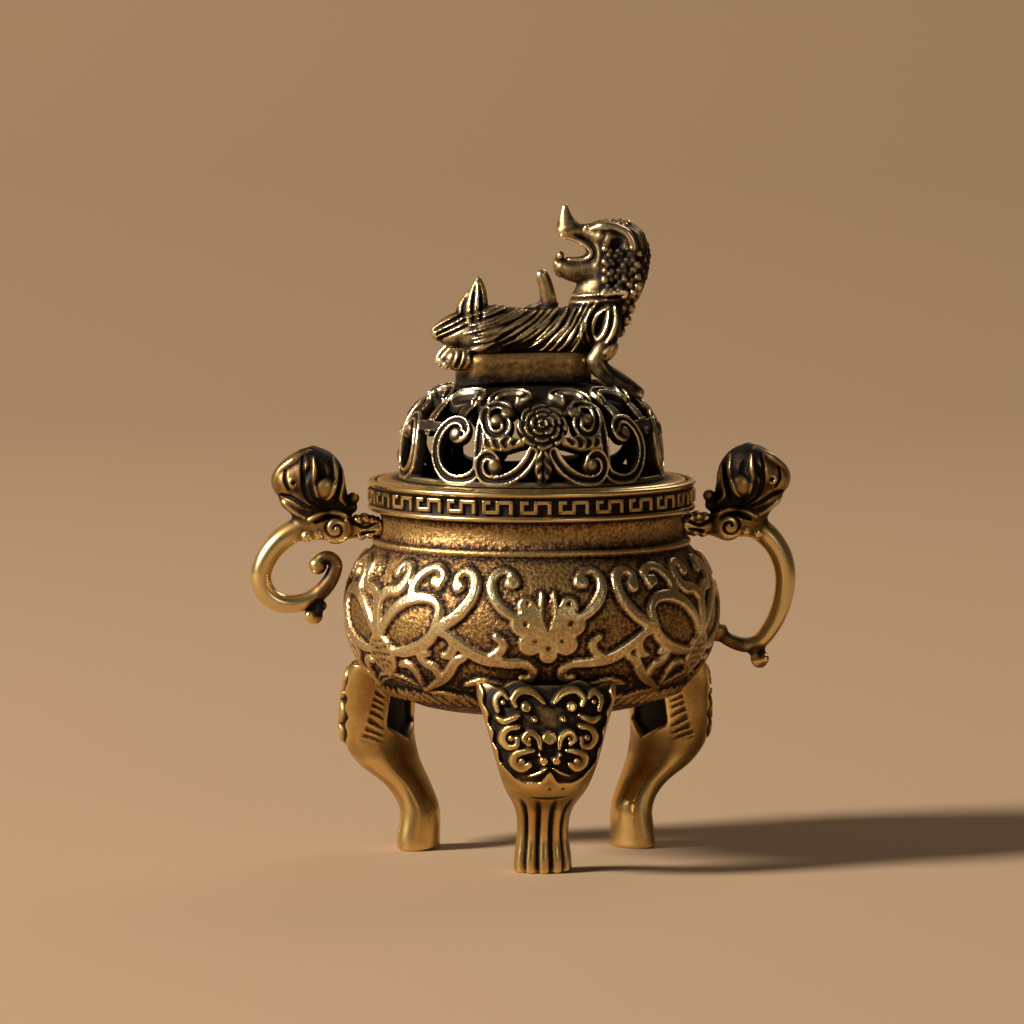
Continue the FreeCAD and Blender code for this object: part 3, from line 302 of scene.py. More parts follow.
def patina_and_light_group():
    """Old brass: dark brown in the hollows, golden on plain faces, pale where hands have rubbed it. The wear
    attribute also brings painted shade into the dark colours and painted highlights into the pale one.
    """
    group = bpy.data.node_groups.new("old brass patina and painted light", "ShaderNodeTree")
    face = group.interface
    for name, number in (("Polish", 0.0), ("Speckle", 0.2), ("Speckle Scale", 3000.0), ("Cloud", 0.15)):
        face.new_socket(name, in_out="INPUT", socket_type="NodeSocketFloat").default_value = number
    # The hollow and ground colours also show painted shade, and the rubbed colour painted highlights,
    # wherever the wear attribute carries them.
    for name, colour in (("Hollow", (0.010, 0.006, 0.004, 1)), ("Ground", (0.12, 0.062, 0.022, 1)),
                         ("Brass", (0.43, 0.265, 0.085, 1)), ("Rubbed", (0.82, 0.62, 0.29, 1))):
        face.new_socket(name, in_out="INPUT", socket_type="NodeSocketColor").default_value = colour
    face.new_socket("Color", in_out="OUTPUT", socket_type="NodeSocketColor")
    for name in ("Roughness", "Metallic", "Height"):
        face.new_socket(name, in_out="OUTPUT", socket_type="NodeSocketFloat")
    taken = add_node(group, "NodeGroupInput", (-1200, 0)).outputs
    wear = add_node(group, "ShaderNodeAttribute", (-1200, 300), attribute_name="wear").outputs["Fac"]
    place = add_node(group, "ShaderNodeTexCoord", (-1200, -300)).outputs["Object"]
    grain = add_node(group, "ShaderNodeTexNoise", (-950, -150), {
        "Vector": place, "Scale": taken["Speckle Scale"], "Detail": 3.0, "Roughness": 0.6}).outputs["Fac"]
    cloud = add_node(group, "ShaderNodeTexNoise", (-950, -450), {
        "Vector": place, "Scale": 230.0, "Detail": 3.0}).outputs["Fac"]

    def step(kind, first, second, where):
        return add_node(group, "ShaderNodeMath", where, {0: first, 1: second}, operation=kind).outputs[0]

    speckle = step("MULTIPLY", step("SUBTRACT", grain, 0.5, (-750, -150)), taken["Speckle"], (-550, -150))
    speckle = step("MULTIPLY", speckle, step("SUBTRACT", 1.15, wear, (-950, 100)), (-450, -50))
    drift = step("MULTIPLY", step("SUBTRACT", cloud, 0.5, (-750, -450)), taken["Cloud"], (-550, -450))
    rubbing_and_painted_light = step("ADD", step("ADD", wear, taken["Polish"], (-750, 250)), speckle, (-350, 150))
    rubbing_and_painted_light = step("ADD", rubbing_and_painted_light, drift, (-150, 100))

    def mix(low, high, first, second, where):
        share = add_node(group, "ShaderNodeMapRange", where, {
            "Value": rubbing_and_painted_light, "From Min": low, "From Max": high}, interpolation_type="SMOOTHSTEP")
        mixed = add_node(group, "ShaderNodeMix", (where[0] + 180, where[1]), {
            "Factor": share.outputs["Result"], "A": first, "B": second}, data_type="RGBA")
        return mixed.outputs["Result"]

    def ranged(dull, bright, where):
        node = add_node(group, "ShaderNodeMapRange", where, {
            "Value": rubbing_and_painted_light, "From Min": 0.1, "From Max": 0.85, "To Min": dull, "To Max": bright})
        return node.outputs["Result"]

    colour = mix(0.05, 0.38, taken["Hollow"], taken["Ground"], (50, 300))
    colour = mix(0.32, 0.62, colour, taken["Brass"], (250, 250))
    colour = mix(0.6, 1.0, colour, taken["Rubbed"], (450, 200))
    add_node(group, "NodeGroupOutput", (900, 0), {
        "Color": colour, "Roughness": ranged(0.6, 0.27, (450, -50)),
        "Metallic": ranged(0.75, 1.0, (450, -250)), "Height": speckle})
    return group


PATINA_AND_PAINTED_LIGHT = patina_and_light_group()


def old_brass(name, bump=0.00004, **values):
    """A brass finish: the patina and painted light with this piece's own values, and the bump of its cast
    grain.
    """
    made = bpy.data.materials.new(name)
    made.use_nodes = True
    tree = made.node_tree
    patina_and_light = add_node(tree, "ShaderNodeGroup", (-500, 200), node_tree=PATINA_AND_PAINTED_LIGHT,
                      inputs={socket.replace("_", " "): value for socket, value in values.items()}).outputs
    grain = add_node(tree, "ShaderNodeBump", (-250, -250), {
        "Strength": 0.6, "Distance": bump, "Height": patina_and_light["Height"]})
    surface = tree.nodes["Principled BSDF"].inputs
    tree.links.new(patina_and_light["Color"], surface["Base Color"])
    tree.links.new(patina_and_light["Roughness"], surface["Roughness"])
    tree.links.new(patina_and_light["Metallic"], surface["Metallic"])
    tree.links.new(grain.outputs["Normal"], surface["Normal"])
    return made


bowl.data.materials.append(old_brass(
    "bowl brass", bump=0.00018, Speckle=1.7, Speckle_Scale=3000.0, Cloud=0.25,
    Ground=(0.15, 0.07, 0.024, 1), Rubbed=(0.87, 0.71, 0.42, 1)))
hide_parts("bowl")
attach(bowl, "burner")

# Rim band: a turned brass ring brazed on the neck, with two rounded lips and a sunk band between.
# A key fret runs round the band, each unit an upright hook followed by one upside down.
# Its top is rebated inside, so that the lid's flat ring drops in flush.
RIM_Z = 34.2
RIM_TOP_Z = 37.2
SUNK_R = 15.75
FRET_UNITS = 27
FRET_H = 1.18
FRET_BAR = 0.37
FRET_PROUD = 0.26
RING_COLUMNS = 216
rim_profile = [
    (14.35, 34.2, 0.1), (15.5, 34.2, 0.2), (15.75, 34.22, 0.4), (15.98, 34.32, 0.85), (16.1, 34.5, 0.95),
    (15.99, 34.7, 0.8), (15.8, 34.79, 0.35), (15.75, 34.86, 0.05), (15.75, 35.7, 0.1), (15.75, 36.54, 0.05),
    (15.8, 36.61, 0.35), (15.99, 36.7, 0.8), (16.1, 36.9, 0.95), (16.0, 37.08, 0.9), (15.84, 37.17, 0.85),
    (15.7, 37.2, 0.75), (15.45, 37.2, 0.6), (15.4, 37.15, 0.4), (15.4, 36.55, 0.1), (15.35, 36.5, 0.1),
    (13.55, 36.5, 0.25), (13.55, 35.6, 0.2), (14.35, 35.6, 0.1),
]


def turned_ring(name, profile):
    """A closed ring turned along a profile of (radius, height, how far it is rubbed)."""
    rows = np.array(profile)
    angles = np.linspace(0, 2 * math.pi, RING_COLUMNS, endpoint=False)
    points = ring_points(rows[:, :1], rows[:, 1:2], angles).reshape(-1, 3)
    faces = turned_faces(len(rows), RING_COLUMNS, True)
    return new_piece(name, points, faces, np.repeat(rows[:, 2], RING_COLUMNS))


rim = turned_ring("rim_band_turned", rim_profile)
rim_brass = old_brass("rim brass", Speckle=0.28, Speckle_Scale=2600.0, Polish=-0.04)
rim.data.materials.append(rim_brass)
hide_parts("rim_band")
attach(rim, "burner")


def fret_tree():
    """Geometry nodes for the key fret: bars joined to one unit, set round a circle."""
    tree = bpy.data.node_groups.new("key fret", "GeometryNodeTree")
    face = tree.interface
    face.new_socket("Geometry", in_out="OUTPUT", socket_type="NodeSocketGeometry")
    for name in ("Units", "Radius", "Unit Length", "Height", "Bar", "Proud", "Level"):
        kind = "NodeSocketInt" if name == "Units" else "NodeSocketFloat"
        face.new_socket(name, in_out="INPUT", socket_type=kind)
    face.new_socket("Finish", in_out="INPUT", socket_type="NodeSocketMaterial")
    taken = add_node(tree, "NodeGroupInput", (-1400, 0)).outputs
    joined = add_node(tree, "GeometryNodeJoinGeometry", (-200, 200))

    def worked_out(kind, where, inputs):
        return add_node(tree, "ShaderNodeMath", where, inputs, operation=kind).outputs[0]

    def share(socket, factor, where):
        return worked_out("MULTIPLY", where, {0: taken[socket], 1: factor})

    def vector(where, inputs):
        return add_node(tree, "ShaderNodeCombineXYZ", where, inputs).outputs["Vector"]

    def bar(long_way, length, across, up, row):
        """One bar: its share of the unit's length or height, and where its middle lies."""
        place = vector((-700, row), {"X": share("Unit Length", across, (-950, row)),
                                     "Z": share("Height", up, (-950, row - 60))})
        long_side = share("Unit Length" if long_way == "X" else "Height", length, (-1150, row - 180))
        size = vector((-700, row - 120), {
            "Y": share("Proud", 2.0, (-1150, row - 120)), "Z" if long_way == "X" else "X": taken["Bar"],
            long_way: worked_out("ADD", (-950, row - 180), {0: long_side, 1: taken["Bar"]})})
        cube = add_node(tree, "GeometryNodeMeshCube", (-500, row), {"Size": size})
        moved = add_node(tree, "GeometryNodeTransform", (-350, row), {
            "Geometry": cube.outputs["Mesh"], "Translation": place})
        tree.links.new(moved.outputs["Geometry"], joined.inputs["Geometry"])

    bar("Z", 0.8, -0.38, 0.0, 900)
    bar("X", 0.36, -0.20, -0.4, 600)
    bar("Z", 0.8, -0.02, 0.0, 300)
    bar("X", 0.36, 0.16, 0.4, 0)
    bar("Z", 0.8, 0.34, 0.0, -300)
    bar("X", 0.08, -0.30, 0.4, -600)
    circle = add_node(tree, "GeometryNodeMeshCircle", (-200, -200), {
        "Vertices": taken["Units"], "Radius": taken["Radius"]})
    raised = add_node(tree, "GeometryNodeTransform", (0, -200), {
        "Geometry": circle.outputs["Mesh"], "Translation": vector((-200, -400), {"Z": taken["Level"]})})
    index = add_node(tree, "GeometryNodeInputIndex", (-400, -600)).outputs["Index"]
    part = worked_out("DIVIDE", (-200, -600), {0: index, 1: taken["Units"]})
    angle = worked_out("MULTIPLY_ADD", (0, -600), {0: part, 1: 2 * math.pi, 2: math.pi / 2})
    placed = add_node(tree, "GeometryNodeInstanceOnPoints", (200, 0), {
        "Points": raised.outputs["Geometry"], "Instance": joined.outputs["Geometry"],
        "Rotation": vector((200, -600), {"Z": angle})})
    real = add_node(tree, "GeometryNodeRealizeInstances", (400, 0), {"Geometry": placed.outputs["Instances"]})
    rubbing_and_painted_light = add_node(tree, "GeometryNodeStoreNamedAttribute", (600, 0), {
        "Geometry": real.outputs["Geometry"], "Name": "wear", "Value": 0.8},
        data_type="FLOAT", domain="POINT")
    finish = add_node(tree, "GeometryNodeSetMaterial", (800, 0), {
        "Geometry": rubbing_and_painted_light.outputs["Geometry"], "Material": taken["Finish"]})
    add_node(tree, "NodeGroupOutput", (1000, 0), {"Geometry": finish.outputs["Geometry"]})
    return tree


def grown(name, tree, values):
    """A plain mesh object of what a geometry node tree makes from its named values."""
    seed = bpy.data.objects.new(name + "_seed", bpy.data.meshes.new(name + "_seed"))
    bpy.context.scene.collection.objects.link(seed)
    nodes = seed.modifiers.new("nodes", "NODES")
    nodes.node_group = tree
    for item in tree.interface.items_tree:
        if item.in_out == "INPUT":
            nodes[item.identifier] = values[item.name]
    seen = seed.evaluated_get(bpy.context.evaluated_depsgraph_get())
    mesh = bpy.data.meshes.new_from_object(seen)
    bpy.data.objects.remove(seed)
    mesh.name = name
    piece = bpy.data.objects.new(name, mesh)
    bpy.context.scene.collection.objects.link(piece)
    return piece


fret = grown("rim_key_fret", fret_tree(), {
    "Units": FRET_UNITS, "Radius": SUNK_R * MM, "Unit Length": 2 * math.pi * SUNK_R * MM / FRET_UNITS,
    "Height": FRET_H * MM, "Bar": FRET_BAR * MM, "Proud": FRET_PROUD * MM,
    "Level": (RIM_Z + RIM_TOP_Z) / 2 * MM, "Finish": rim_brass})
fret.data.transform(mathutils.Matrix.Translation(AXIS))
soft_edge = fret.modifiers.new("soft edges", "BEVEL")
soft_edge.width = 0.08 * MM
soft_edge.segments = 2
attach(fret, "burner")

# Legs: three cabriole legs cast in one pattern, each screwed to the belly from inside.
# The knee carries a beast's mask in a sunk panel: brows, eyes, curls and a scalloped lower edge.
# Below it five reeds run down to a flat foot, and the back of the knee is hollow, with painted shade in it.
LEG_ANGLES = {"leg_front": -90.0, "leg_rear_right": 30.0, "leg_rear_left": 150.0}
LEG_STEP = 0.115
FINE = 1.0
LEG_STATIONS = [(-0.5, 12.3, 3.9, 5.6), (1.2, 12.3, 3.9, 5.6), (4.0, 12.2, 3.7, 5.0), (6.3, 13.4, 4.2, 5.6),
                (8.6, 15.6, 5.8, 8.0), (11.2, 16.8, 6.6, 9.8), (14.6, 16.7, 6.0, 11.6),
                (17.4, 16.1, 5.6, 13.3), (19.8, 15.2, 5.4, 13.6)]
MASK_DEPTH = 0.42
SEAM = 0.02
FAR = 3.0


def carved(form, tool, blend):
    """What is left of a form when a tool is cut from it, with a fillet as wide as blend."""
    near = np.maximum(blend - np.abs(form + tool), 0)
    return np.maximum(form, -tool) + near * near / (4 * blend)


class Metal:
    """A block of places on a grid, in millimetres, each holding its distance to the metal's surface:
    negative inside. Forms are joined to it and carved from it, then its surface is meshed."""

    def __init__(self, low, high, step):
        self.step = step * FINE
        self.low = np.array(low, float)
        self.count = np.ceil((np.array(high) - self.low) / self.step).astype(int) + 1
        self.field = np.full(self.count, FAR, np.float32)

    def part(self, low, high):
        """The slice of the block between two corners, and its coordinates."""
        first = np.clip(np.floor((np.array(low) - self.low) / self.step), 0, self.count).astype(int)
        last = np.clip(np.ceil((np.array(high) - self.low) / self.step) + 1, 0, self.count).astype(int)
        spans = [slice(a, b) for a, b in zip(first, last)]
        axes = [self.low[i] + self.step * np.arange(first[i], last[i]) for i in range(3)]
        return tuple(spans), np.ix_(*[axis.astype(np.float32) for axis in axes])

    def merge(self, spans, distance, blend, carve=False):
        """Adds a form to a slice of the block, or carves it out, with a fillet as wide as blend."""
        old = self.field[spans]
        self.field[spans] = carved(old, distance, blend) if carve else -carved(-old, distance, blend)

    def rod(self, stations, blend=0.3, flat=1.0, carve=False):
        """A round form along a smooth line of (x, y, z, radius); flat widens it across, along Y."""
        line = np.array(stations, float) if len(stations) == 2 else curve(stations, 4)
        margin = line[:, 3].max() * max(flat, 1) + blend + 0.4
        spans, (x, y, z) = self.part(line[:, :3].min(0) - margin, line[:, :3].max(0) + margin)
        if 0 in self.field[spans].shape:
            return
        gap = np.full(self.field[spans].shape, 9.0, np.float32)
        for a, b in zip(line, line[1:]):
            run = b[:3] - a[:3]
            run[1] /= flat
            share = ((x - a[0]) * run[0] + (y - a[1]) / flat * run[1] + (z - a[2]) * run[2])
            share = np.clip(share / max(run @ run, 1e-9), 0, 1)
            away = (x - a[0] - share * run[0]) ** 2 + ((y - a[1]) / flat - share * run[1]) ** 2
            away = np.sqrt(away + (z - a[2] - share * run[2]) ** 2)
            gap = np.minimum(gap, away - a[3] - share * (b[3] - a[3]))
        self.merge(spans, gap, blend, carve)

    def ball(self, centre, half, blend=0.3, tilt=0.0, carve=False):
        """An egg-shaped form with three half sizes, tilted in the side view by degrees."""
        half = np.array(half if isinstance(half, tuple) else (half,) * 3, float)
        margin = half.max() + blend + 0.4
        spans, (x, y, z) = self.part(np.array(centre) - margin, np.array(centre) + margin)
        if 0 in self.field[spans].shape:
            return
        c, s = math.cos(math.radians(tilt)), math.sin(math.radians(tilt))
        u = (x - centre[0]) * c + (z - centre[2]) * s
        w = (z - centre[2]) * c - (x - centre[0]) * s
        v = y - centre[1]
        k0 = np.sqrt((u / half[0]) ** 2 + (v / half[1]) ** 2 + (w / half[2]) ** 2) + 1e-4
        k1 = np.sqrt((u / half[0] ** 2) ** 2 + (v / half[1] ** 2) ** 2 + (w / half[2] ** 2) ** 2) + 1e-4
        self.merge(spans, k0 * (k0 - 1) / k1, blend, carve)

    def whole(self):
        """The coordinates of every place."""
        return self.part(self.low, self.low + self.step * self.count)[1]

    def cast(self, reach=0.32, gain=1.0, base=0.5):
        """Points and quads of the surface, and how rubbed each point is: high places more, hollows less."""
        grid = openvdb.FloatGrid(3.0)
        grid.copyFromArray(np.clip(self.field / self.step, -3, 3))
        points, quads = grid.convertToQuads(isovalue=0.0)
        soft = blurred(np.clip(self.field, -1.2, 1.2), max(int(round(reach / self.step)), 1))
        place = np.clip(points, 0, self.count - 1.001)
        cell = place.astype(int)
        part = place - cell
        high = np.zeros(len(points))
        for corner in np.ndindex(2, 2, 2):
            weight = np.prod(np.where(np.array(corner), part, 1 - part), axis=1)
            high += weight * soft[tuple((cell + corner).T)]
        return points * self.step + self.low, quads, base + gain * high / reach


def placed_points(points, angle):
    """Points turned round the axis by degrees."""
    c, s = math.cos(math.radians(angle)), math.sin(math.radians(angle))
    return points @ np.array([[c, s, 0], [-s, c, 0], [0, 0, 1]])


def belly_gap(r, z):
    """Distance outside the bowl's plain belly and shoulder."""
    lower = np.hypot(np.maximum(r - BELLY_FLAT_R, 0), z - BELLY_MID_Z) - LOWER_BEND
    upper = np.hypot(r - (BELLY_R - UPPER_BEND), z - BELLY_MID_Z) - UPPER_BEND
    return np.where(z < BELLY_MID_Z, lower, upper)


leg = Metal((9.3, -7.3, -0.4), (20.9, 7.3, 20.0), LEG_STEP)
x, y, z = leg.whole()
station = curve(LEG_STATIONS, 8)
middle, depth, width = [np.interp(z, station[:, 0], station[:, k]) for k in (1, 2, 3)]
u = (x - middle) / (depth / 2)
v = y / (width / 2)
k0 = np.sqrt(u * u + v * v) + 1e-4
k1 = np.sqrt((u / (depth / 2)) ** 2 + (v / (width / 2)) ** 2) + 1e-4
shank = k0 * (k0 - 1) / k1
around = np.degrees(np.arctan2(v, u))
grooves = sum(np.exp(-((around - a) / 6.5) ** 2) for a in (-48.0, -16.0, 16.0, 48.0))
shank = shank + 0.46 * grooves * ease(-z, -8.0, -6.6)
in_back = ease(z - 10.6 - 0.5 * np.abs(y), 0.0, 0.9) * ease(3.1 - 0.1 * (z - 11) - np.abs(y), -0.2, 0.3)
in_back = in_back * ease(middle - x, 0.0, 0.6)
beside = np.abs(y) - 4.1
fringe = ease(np.sin(8.5 * z + 1.2 * np.sin(1.7 * z) - 5.0 * beside) + 0.9 * beside, 0.1, 0.7)
fringe = fringe * ease(0.8 - np.abs(beside), -0.1, 0.3) * ease(middle - x, 0.2, 0.7) * ease(z, 10.6, 11.4)
shank = shank + 0.8 * in_back + 0.18 * fringe
across = y[0, :, :] + 0 * z[0, :, :]
upward = z[0, :, :] + 0 * y[0, :, :]
mask_lines = [
    [(0.5, 17.2, 0.22), (1.4, 18.1, 0.36), (2.6, 18.3, 0.38), (3.4, 17.6, 0.34), (3.2, 16.9, 0.25)],
    [(4.9, 16.4, 0.28), (5.1, 17.4, 0.33), (4.5, 18.1, 0.33), (3.9, 17.6, 0.25)],
    [(4.9, 15.7, 0.25), (4.3, 15.4, 0.36), (3.5, 15.7, 0.32), (2.9, 16.0, 0.2)],
    [(3.0, 14.9, 0.28), (4.0, 14.7, 0.36), (4.5, 13.8, 0.4), (4.0, 13.0, 0.38), (3.2, 13.1, 0.33),
     (3.1, 13.8, 0.3)],
    [(0.9, 12.9, 0.22), (1.1, 13.9, 0.34), (1.9, 14.4, 0.34), (2.5, 13.8, 0.3), (2.0, 13.3, 0.28)],
    [(1.6, 12.7, 0.22), (2.4, 12.6, 0.34), (3.3, 12.2, 0.42), (3.4, 11.4, 0.44), (2.7, 10.9, 0.4),
     (2.0, 11.3, 0.34)],
    [(0.0, 14.3, 0.3), (0.4, 13.9, 0.4), (0.0, 13.5, 0.3)],
    [(0.3, 11.0, 0.12), (1.1, 10.5, 0.2), (1.9, 10.2, 0.12)],
]
mask_lines = [curve(points) for points in mask_lines]
mask_lines += [spot(2.2, 16.8, 0.52), spot(4.4, 17.2, 0.3), spot(3.7, 13.8, 0.36), spot(1.9, 13.8, 0.25)]
mask_lines += [spot(2.7, 11.6, 0.4), spot(0.62, 11.7, 0.44), spot(1.4, 15.6, 0.3), spot(1.0, 12.3, 0.22)]
inside_panel = np.interp(upward, [9.4, 10.0, 10.8, 12.3, 14.6, 17.6, 19.0],
                         [2.1, 3.3, 4.2, 4.9, 5.45, 6.2, 6.3])
inside_panel = inside_panel + 0.12 * np.sin(3.4 * upward) - np.abs(across)
lower_edge = 9.4 + 1.2 * np.exp(-(across / 0.55) ** 2)
inside_panel = np.minimum(inside_panel, upward - lower_edge)
mask = -MASK_DEPTH * ease(inside_panel, -0.1, 0.22)
curls = np.full(mask.shape, -9.0)
for line in mask_lines:
    curls = np.maximum(curls, strand(np.abs(across), upward, line))
mask = mask + (MASK_DEPTH + 0.16) * ease(curls, -0.12, 0.14) * ease(inside_panel, -0.1, 0.1)
shank_cuts = [curve([(-1.5, 7.85, 0.05), (0.0, 7.75, 0.1), (1.7, 7.85, 0.05)])]
shank_cuts += [spot(0.1, 8.8, 0.12), spot(1.4, 8.8, 0.12)]
for line in shank_cuts:
    mask = mask - 0.25 * ease(strand(across, upward, line), -0.1, 0.1)
facing = ease(x - middle, -0.3, 0.6)
shank = shank - mask[None, :, :] * facing
shank = np.maximum(shank, SEAM - belly_gap(np.hypot(x, y), z))
top_edge = 18.95 + 0.22 * np.cos(2.1 * y) - 0.45 * np.exp(-(y / 0.9) ** 2) - 0.25 * ease(np.abs(y), 3.8, 4.6)
shank = np.maximum(shank, z - top_edge)
leg.field[:] = carved(shank, z, 0.25)
leg_points, leg_quads, leg_wear_and_shade = leg.cast(reach=0.4, gain=1.3, base=0.52)
px, py, pz = leg_points.T
behind = ease(np.interp(pz, station[:, 0], station[:, 1]) - px, -0.5, 0.3)
# The hollow back of the knee is darkened below as painted shade.
knee_back_painted_shade = ease(pz - 10.6 - 0.5 * np.abs(py), 0.1, 0.8) * ease(3.1 - 0.1 * (pz - 11) - np.abs(py), -0.1, 0.3)
knee_back_painted_shade = knee_back_painted_shade * behind
in_mask = np.interp(pz, [9.4, 10.8, 14.6, 17.6], [1.8, 3.9, 5.2, 5.9]) - np.abs(py)
in_mask = ease(in_mask, -0.1, 0.3) * ease(pz, 9.8, 10.8) * (1 - behind)
leg_wear_and_shade = leg_wear_and_shade + 0.2 * ease(-pz, -9.8, -8.6) + 0.12 * behind - 0.9 * knee_back_painted_shade - 0.2 * in_mask
# Painted shade at the top of the leg's front, under the belly.
leg_wear_and_shade = leg_wear_and_shade - 0.3 * (1 - behind) * ease(pz, 17.4, 18.7) * ease(-np.abs(py), -5.9, -5.3)
leg_wear_and_shade = leg_wear_and_shade - 0.26 * (1 - behind) * ease(-pz, -9.0, -8.0)
leg_points[:, 2] = np.maximum(leg_points[:, 2], 0.0)
leg_brass = old_brass("leg brass", Speckle=0.5, Speckle_Scale=2400.0, Cloud=0.45,
                      Rubbed=(0.84, 0.58, 0.22, 1))
for name, angle in LEG_ANGLES.items():
    piece = new_piece(name + "_cast", placed_points(leg_points, angle), leg_quads, leg_wear_and_shade)
    piece.data.materials.append(leg_brass)
    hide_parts(name)
    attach(piece, "burner")

# Handles: a bracket on the neck, a beast's head above it and a C-scroll tail below, cast in one.
# Each is screwed to the neck from inside; the right tail rests on the belly, the left one curls free.
# The heads are dark in their grooves, the round tails are rubbed bright, and the end of each tail's curl is
# darkened as painted shade.
HANDLE_STEP = 0.105
NECK_R = 14.95
BRACKET_Z = 32.5
BRACKET_END = 21.55
BEAD_R = 15.62
BEAD_TOP_Z = 31.5


def walk(start, heading, moves, steps=10):
    """Points along tangent arcs, each move (radius, sweep in degrees), left turns positive."""
    px, py = start
    angle = math.radians(heading)
    points = [(px, py)]
    for radius, sweep in moves:
        side = 1 if sweep > 0 else -1
        cx = px - side * radius * math.sin(angle)
        cy = py + side * radius * math.cos(angle)
        first = angle - side * math.pi / 2
        for k in range(1, steps + 1):
            here = first + math.radians(sweep) * k / steps
            points.append((cx + radius * math.cos(here), cy + radius * math.sin(here)))
        px, py = points[-1]
        angle += math.radians(sweep)
    return points


def tail_line(start, heading, moves, thick, thin, count=34):
    """The tail's stations, evenly spaced, thinning from its root to its end."""
    points = np.array(walk(start, heading, moves))
    runs = np.concatenate([[0], np.cumsum(np.hypot(*np.diff(points, axis=0).T))])
    share = np.linspace(0, 1, count)
    px, pz = [np.interp(share * runs[-1], runs, points[:, k]) for k in (0, 1)]
    return [(a, 0.0, b, thick + (thin - thick) * t ** 1.4) for a, b, t in zip(px, pz, share)]


def side_view(metal):
    """Where the places of a block lie in the side view, and how far they lie to a side."""
    x, y, z = metal.whole()
    return x[:, 0, :] + 0 * z[:, 0, :], z[:, 0, :] + 0 * x[:, 0, :], y


def side_relief(metal, raised, cuts, height=0.22, depth=0.24):
    """Strands raised on both sides of a form, and lines cut into them, drawn in the side view."""
    flat_x, flat_z, y = side_view(metal)
    drawn = np.zeros(flat_x.shape, np.float32)
    for line in raised:
        drawn = np.maximum(drawn, height * ease(strand(flat_x, flat_z, line), -0.14, 0.16))
    for line in cuts:
        drawn = drawn - depth * ease(strand(flat_x, flat_z, line), -0.12, 0.12)
    metal.field -= drawn[:, None, :] * ease(np.abs(y), 0.25, 0.9)


